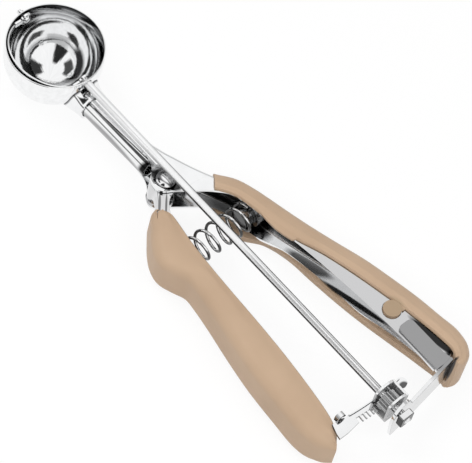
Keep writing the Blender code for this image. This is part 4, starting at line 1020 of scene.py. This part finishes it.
def paint_light_by_facing(made, axis, stops, rising=None):
    """Paints light and shade into a steel's tone by how far a face points along an axis: pairs of share and
    reflectance.
    With rising, a pair of places along X, the painted change grows from the first to the second."""
    tree, shader, tone, coords = reopened(made)
    along = worked(tree, "DOT_PRODUCT", coords.outputs["Normal"], axis, kind="VectorMath")
    ramp = node(tree, "ShaderNodeValToRGB", Fac=ranged(tree, along, 0, 1, -1, 1))
    while len(ramp.color_ramp.elements) < len(stops):
        ramp.color_ramp.elements.new(0.5)
    for element, (share, level) in zip(ramp.color_ramp.elements, stops):
        element.position = share
        element.color = (level, level, level, 1)
    x = axes_of(tree, coords.outputs["Object"])[0]
    cover = ranged(tree, x, 0.25, 1, *rising) if rising else 1
    feed(tree, shader, Base_Color=mixed(tree, cover, tone, ramp.outputs["Color"], "MULTIPLY"))


def shade(made, painted_spots):
    """Lays soft-edged ellipsoids of painted shade, painted highlights and painted reflections over a
    material: centre and half sizes in mm, turn and colour, and for some the share of the half size up to
    which they are full."""
    tree, shader, tone, coords = reopened(made)
    for centre, half, turn, colour, *full in painted_spots:
        mapping = tree.nodes.new("ShaderNodeMapping")
        mapping.vector_type = "TEXTURE"
        feed(tree, mapping, Vector=coords.outputs["Object"], Location=Vector(centre) * MM,
             Rotation=(0, 0, turn), Scale=Vector(half) * MM)
        length = worked(tree, "LENGTH", mapping.outputs["Vector"], kind="VectorMath")
        cover = ranged(tree, length, 1, 0, full[0] if full else 0.7, 1)
        tone = mixed(tree, cover, tone, colour)
    feed(tree, shader, Base_Color=tone)


def steel(name, rough=(0.07, 0.11), tones=SHEET_TONES, painted_spots=(), sides=(), metal=1, stretch=(1, 1, 1)):
    """Stainless steel: a faint haze, fine polishing lines and a slightly uneven sheet. Painted spots lay
    painted shade, highlights and reflections of their own tone, sides paint light and shade from lower to
    upper faces, and less metal scatters light, as a worn piece does."""
    made, tree, shader, coords = node_material(name)
    haze = noise(tree, coords, 90, detail=6)
    lines = noise(tree, coords, 700, stretch, 3)
    sheet = noise(tree, coords, 55, detail=1)
    feed(tree, shader, Metallic=metal, Base_Color=mixed(tree, ranged(tree, haze, 0, 1), *tones),
         Roughness=ranged(tree, lines, *rough), Normal=bumped(tree, sheet, 0.12, 0.0006))
    shade(made, [(*place, (level, level, level * 1.01)) for *place, level in painted_spots])
    if sides:
        paint_light_by_facing(made, (0, 0, 1), sides)
    return made


def soft_grip():
    """Satin moulded grip: warm tan, a little mottled, with a very fine grain."""
    made, tree, shader, coords = node_material("tan_grip")
    mottle = ranged(tree, noise(tree, coords, 45, detail=3), 0, 1)
    grain = noise(tree, coords, 2600, detail=2)
    feed(tree, shader, Base_Color=mixed(tree, mottle, (0.515, 0.36, 0.24), (0.577, 0.412, 0.28)),
         Roughness=ranged(tree, grain, 0.42, 0.56), Normal=bumped(tree, grain, 0.25, 0.00008))
    # Painted shade round the boss and painted shadow in the arm's slot
    shade(made, GRIP_SHADES)
    return made


def show_mix(tree, share, first, second):
    """Ends a material with the share of its second shader over the first."""
    mix = tree.nodes.new("ShaderNodeMixShader")
    fill(tree, mix, (share, first.outputs[0], second.outputs[0]))
    tree.links.new(mix.outputs["Shader"], tree.nodes["Material Output"].inputs["Surface"])


def rays(tree):
    """Whether the camera sees a point itself, and whether it shows in a mirror or through glass."""
    path = tree.nodes.new("ShaderNodeLightPath").outputs
    return path["Is Camera Ray"], worked(tree, "MAXIMUM", path["Is Glossy Ray"], path["Is Transmission Ray"])


def floor_material():
    """Pale floor: white to the camera and in reflections, with the object's soft shadow kept."""
    made, tree, shader, coords = node_material("pale_floor")
    tree.nodes.remove(shader)
    tone = mixed(tree, noise(tree, coords, 3), (0.8, 0.8, 0.8), (0.82, 0.82, 0.82))
    seen, mirrored = rays(tree)
    share = worked(tree, "MULTIPLY", seen, FLOOR_SEEN)
    share = worked(tree, "MAXIMUM", share, worked(tree, "MULTIPLY", mirrored, FLOOR_MIRRORED))
    glow = node(tree, "ShaderNodeEmission", Color=(1, 1, 1), Strength=FLOOR_GLOW)
    show_mix(tree, share, node(tree, "ShaderNodeBsdfDiffuse", Color=tone), glow)
    return made


def card_material(name, level, edge):
    """A dull card of one brightness that thins out towards its edges."""
    made, tree, shader, coords = node_material(name)
    tree.nodes.remove(shader)
    tone = mixed(tree, noise(tree, coords, 2), (level * 0.9,) * 3, (level * 1.1,) * 3)
    cover = 1
    for place in axes_of(tree, coords.outputs["UV"])[:2]:
        inward = worked(tree, "PINGPONG", place, 0.5)
        cover = worked(tree, "MULTIPLY", ranged(tree, inward, 0, 1, 0, edge), cover)
    glow = node(tree, "ShaderNodeEmission", Color=tone)
    show_mix(tree, cover, tree.nodes.new("ShaderNodeBsdfTransparent"), glow)
    return made


def make_stage():
    floor = settle(block("floor", (-FLOOR_HALF, -FLOOR_HALF, -12 * MM), (FLOOR_HALF, FLOOR_HALF, -0.2 * MM)))
    floor.data.materials.append(floor_material())


def outward(azimuth, elevation):
    a = radians(azimuth)
    e = radians(elevation)
    return Vector((cos(a) * cos(e), sin(a) * cos(e), sin(e)))


def room_card(name, azimuths, elevations, level, edge, distance):
    """A piece of the studio's dark ceiling or wall, seen only in the polished metal."""
    steps = 24
    shares = [i / steps for i in range(steps + 1)]
    heights = [between(elevations, share) for share in shares]
    bm = bmesh.new()
    rings = []
    for share in shares:
        azimuth = between(azimuths, share)
        rings.append([bm.verts.new(outward(azimuth, elevation) * distance) for elevation in heights])
    layer = bm.loops.layers.uv.new("place")
    for column, (ring, following) in enumerate(zip(rings, rings[1:])):
        for i in range(steps):
            face = bm.faces.new((ring[i], ring[i + 1], following[i + 1], following[i]))
            for loop, (a, b) in zip(face.loops, ((0, 0), (0, 1), (1, 1), (1, 0))):
                loop[layer].uv = (shares[column + a], shares[i + b])
    card = add(name, mesh_of(bm, name), helper=False)
    card.data.materials.append(card_material(name, level, edge))
    card.visible_camera = False
    card.visible_diffuse = False
    card.visible_shadow = False
    card.visible_transmission = False


def area_lamp(name, azimuth, elevation, width, depth, power):
    lamp = bpy.data.lights.new(name, "AREA")
    lamp.shape = "RECTANGLE"
    lamp.size = width
    lamp.size_y = depth
    lamp.energy = power
    obj = add(name, lamp, helper=False)
    out = outward(azimuth, elevation)
    obj.location = Vector((100 * MM, 0, 0)) + out * LAMP_DISTANCE
    obj.rotation_euler = (-out).to_track_quat("-Z", "Y").to_euler()
    obj.visible_glossy = False


def light_scene():
    world = bpy.data.worlds.new("studio")
    bpy.context.scene.world = world
    world.use_nodes = True
    tree = world.node_tree
    seen = worked(tree, "MAXIMUM", *rays(tree))
    feed(tree, tree.nodes["Background"], Color=(1, 1, 1), Strength=ranged(tree, seen, WORLD_FILL, 1, 0, 1))
    for lamp in LAMPS:
        area_lamp(*lamp)


def make_camera():
    data = bpy.data.cameras.new("camera")
    data.sensor_width = 36
    data.lens = LENS
    data.clip_end = 20
    camera = add("camera", data, helper=False)
    axes = Matrix((Vector(VIEW_RIGHT), -Vector(VIEW_DOWN), -Vector(VIEW_FORWARD))).transposed()
    camera.matrix_world = Matrix.Translation(VIEW_PLACE) @ axes.to_4x4()
    bpy.context.scene.camera = camera


def make_object():
    sheet = steel("polished_steel", (0.05, 0.12))
    bright = steel("bright_steel", (0.03, 0.08), BRIGHT_TONES, metal=0.5, stretch=(0.05, 1, 1))
    # Painted dark reflections along the rod's sides, growing in from a little past the bowl
    paint_light_by_facing(bright, (0, -1, 0), ROD_SIDES, (0.05, 0.085))
    # Painted highlights on the spring wire's upper faces and painted dark on its sides
    wire = steel("spring_wire", (0.03, 0.08), BRIGHT_TONES, sides=SPRING_SIDES)
    tan = soft_grip()
    stand_in(make_bowl(), spun_steel(), "frame", "bowl")
    # Painted shade along the ferrule's edge, where it meets the bowl
    ferrule_steel = steel("ferrule_steel", (0.05, 0.12))
    edge = (BOWL_RADIUS + 0.8 * MM) / MM
    shade(ferrule_steel, [((0, 0, SPHERE_Z / MM), (edge, edge, edge), 0, PAINTED_BLACK, 0.97)])
    stand_in(make_ferrule(), ferrule_steel, "frame", "ferrule")
    # Painted shade and dark reflections on the fixed handle and its shank
    stand_in(make_fixed_handle(), steel("handle_steel", painted_spots=HANDLE_PAINTED_SHADE), "frame", "fixed_handle")
    stand_in(make_right_grip(), tan, "frame", "right_grip", slot="tan_grip")
    # The arm: painted shade on its tab, and painted light and shade by how its faces turn
    arm_steel = steel("arm_steel", painted_spots=ARM_PAINTED_SHADE)
    paint_light_by_facing(arm_steel, (1, -ARM_LEAN, 0), ARM_FACE)
    stand_in(make_arm(), arm_steel, "frame", "rod_arm")
    # The rivet head: a painted dark reflection with painted highlights
    pivot_steel = steel("pivot_steel", tones=PIVOT_PAINTED_DARK, painted_spots=PIVOT_PAINTED_HIGHLIGHTS)
    stand_in(make_pivot(), pivot_steel, "frame", "pivot_rivet")
    # Painted light and shade on the guide by how its faces turn up
    guide_steel = steel("guide_steel", (0.07, 0.14), sides=GUIDE_SIDES, metal=0.55)
    stand_in(make_guide(), guide_steel, "frame", "rack_guide")
    spring = stand_in(make_spring(), wire, "frame", "spring", slot="bright_steel")
    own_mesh(spring)
    shadowed = steel("shadowed_steel", (0.08, 0.16), sides=TOP_DARK)
    stand_in(make_seat("seat_right", 1, SEAT_RADIUS), shadowed, "frame", "spring_seat_right")
    arm_heads = make_rivets("arm_rivet_heads", ARM_RIVETS, CHANNEL_TOP - SHEET, CHANNEL_TOP + 0.9 * SHEET, 0)
    stand_in(arm_heads, sheet, "frame", "arm_rivet_1", "arm_rivet_2")
    # Painted shade and dark reflections on the lever's neck
    stand_in(make_lever(), steel("lever_steel", painted_spots=LEVER_PAINTED_SHADE), "squeeze_lever", "lever")
    stand_in(make_left_grip(), tan, "squeeze_lever", "left_grip", slot="tan_grip")
    # Painted shade on the rack's nub, with its upper faces painted bright
    rack_steel = steel("rack_steel", painted_spots=RACK_PAINTED_SHADE, sides=TOP_BRIGHT)
    stand_in(make_rack(), rack_steel, "squeeze_lever", "gear_rack")
    stand_in(make_seat("seat_left", -1, LEFT_SEAT_RADIUS), shadowed, "squeeze_lever", "spring_seat_left")
    low = CHANNEL_TOP - 2.5 * SHEET
    rack_heads = make_rivets("rack_rivet_heads", RACK_RIVETS, low, CHANNEL_TOP, 0.5 * MM)
    stand_in(rack_heads, sheet, "squeeze_lever", "rack_rivet_1", "rack_rivet_2")
    blade, near_in = make_blade()
    stand_in(blade, sheet, "scraper", "scraper_blade")
    rod, pin = make_rod(near_in)
    stand_in(rod, bright, "scraper", "rod", slot="bright_steel")
    stand_in(pin, sheet, "scraper", "far_pin")
    # Painted light and shade on the pinion by how its faces turn up
    pinion_steel = steel("pinion_steel", (0.1, 0.18), sides=PINION_SIDES, metal=0.6)
    stand_in(make_pinion(), pinion_steel, "scraper", "pinion")
    # Painted shade on the nut's sides with a painted highlight on its top
    stand_in(make_nut(), steel("nut_steel", (0.06, 0.14), sides=NUT_SIDES), "scraper", "rod_nut")


make_object()
make_stage()
for helper in helpers:
    bpy.data.objects.remove(helper)
for index, card in enumerate(ROOM):
    room_card(*card, ROOM_DISTANCE - 0.02 * index)
light_scene()
make_camera()
bpy.context.scene.view_settings.view_transform = "Standard"
bpy.context.view_layer.update()
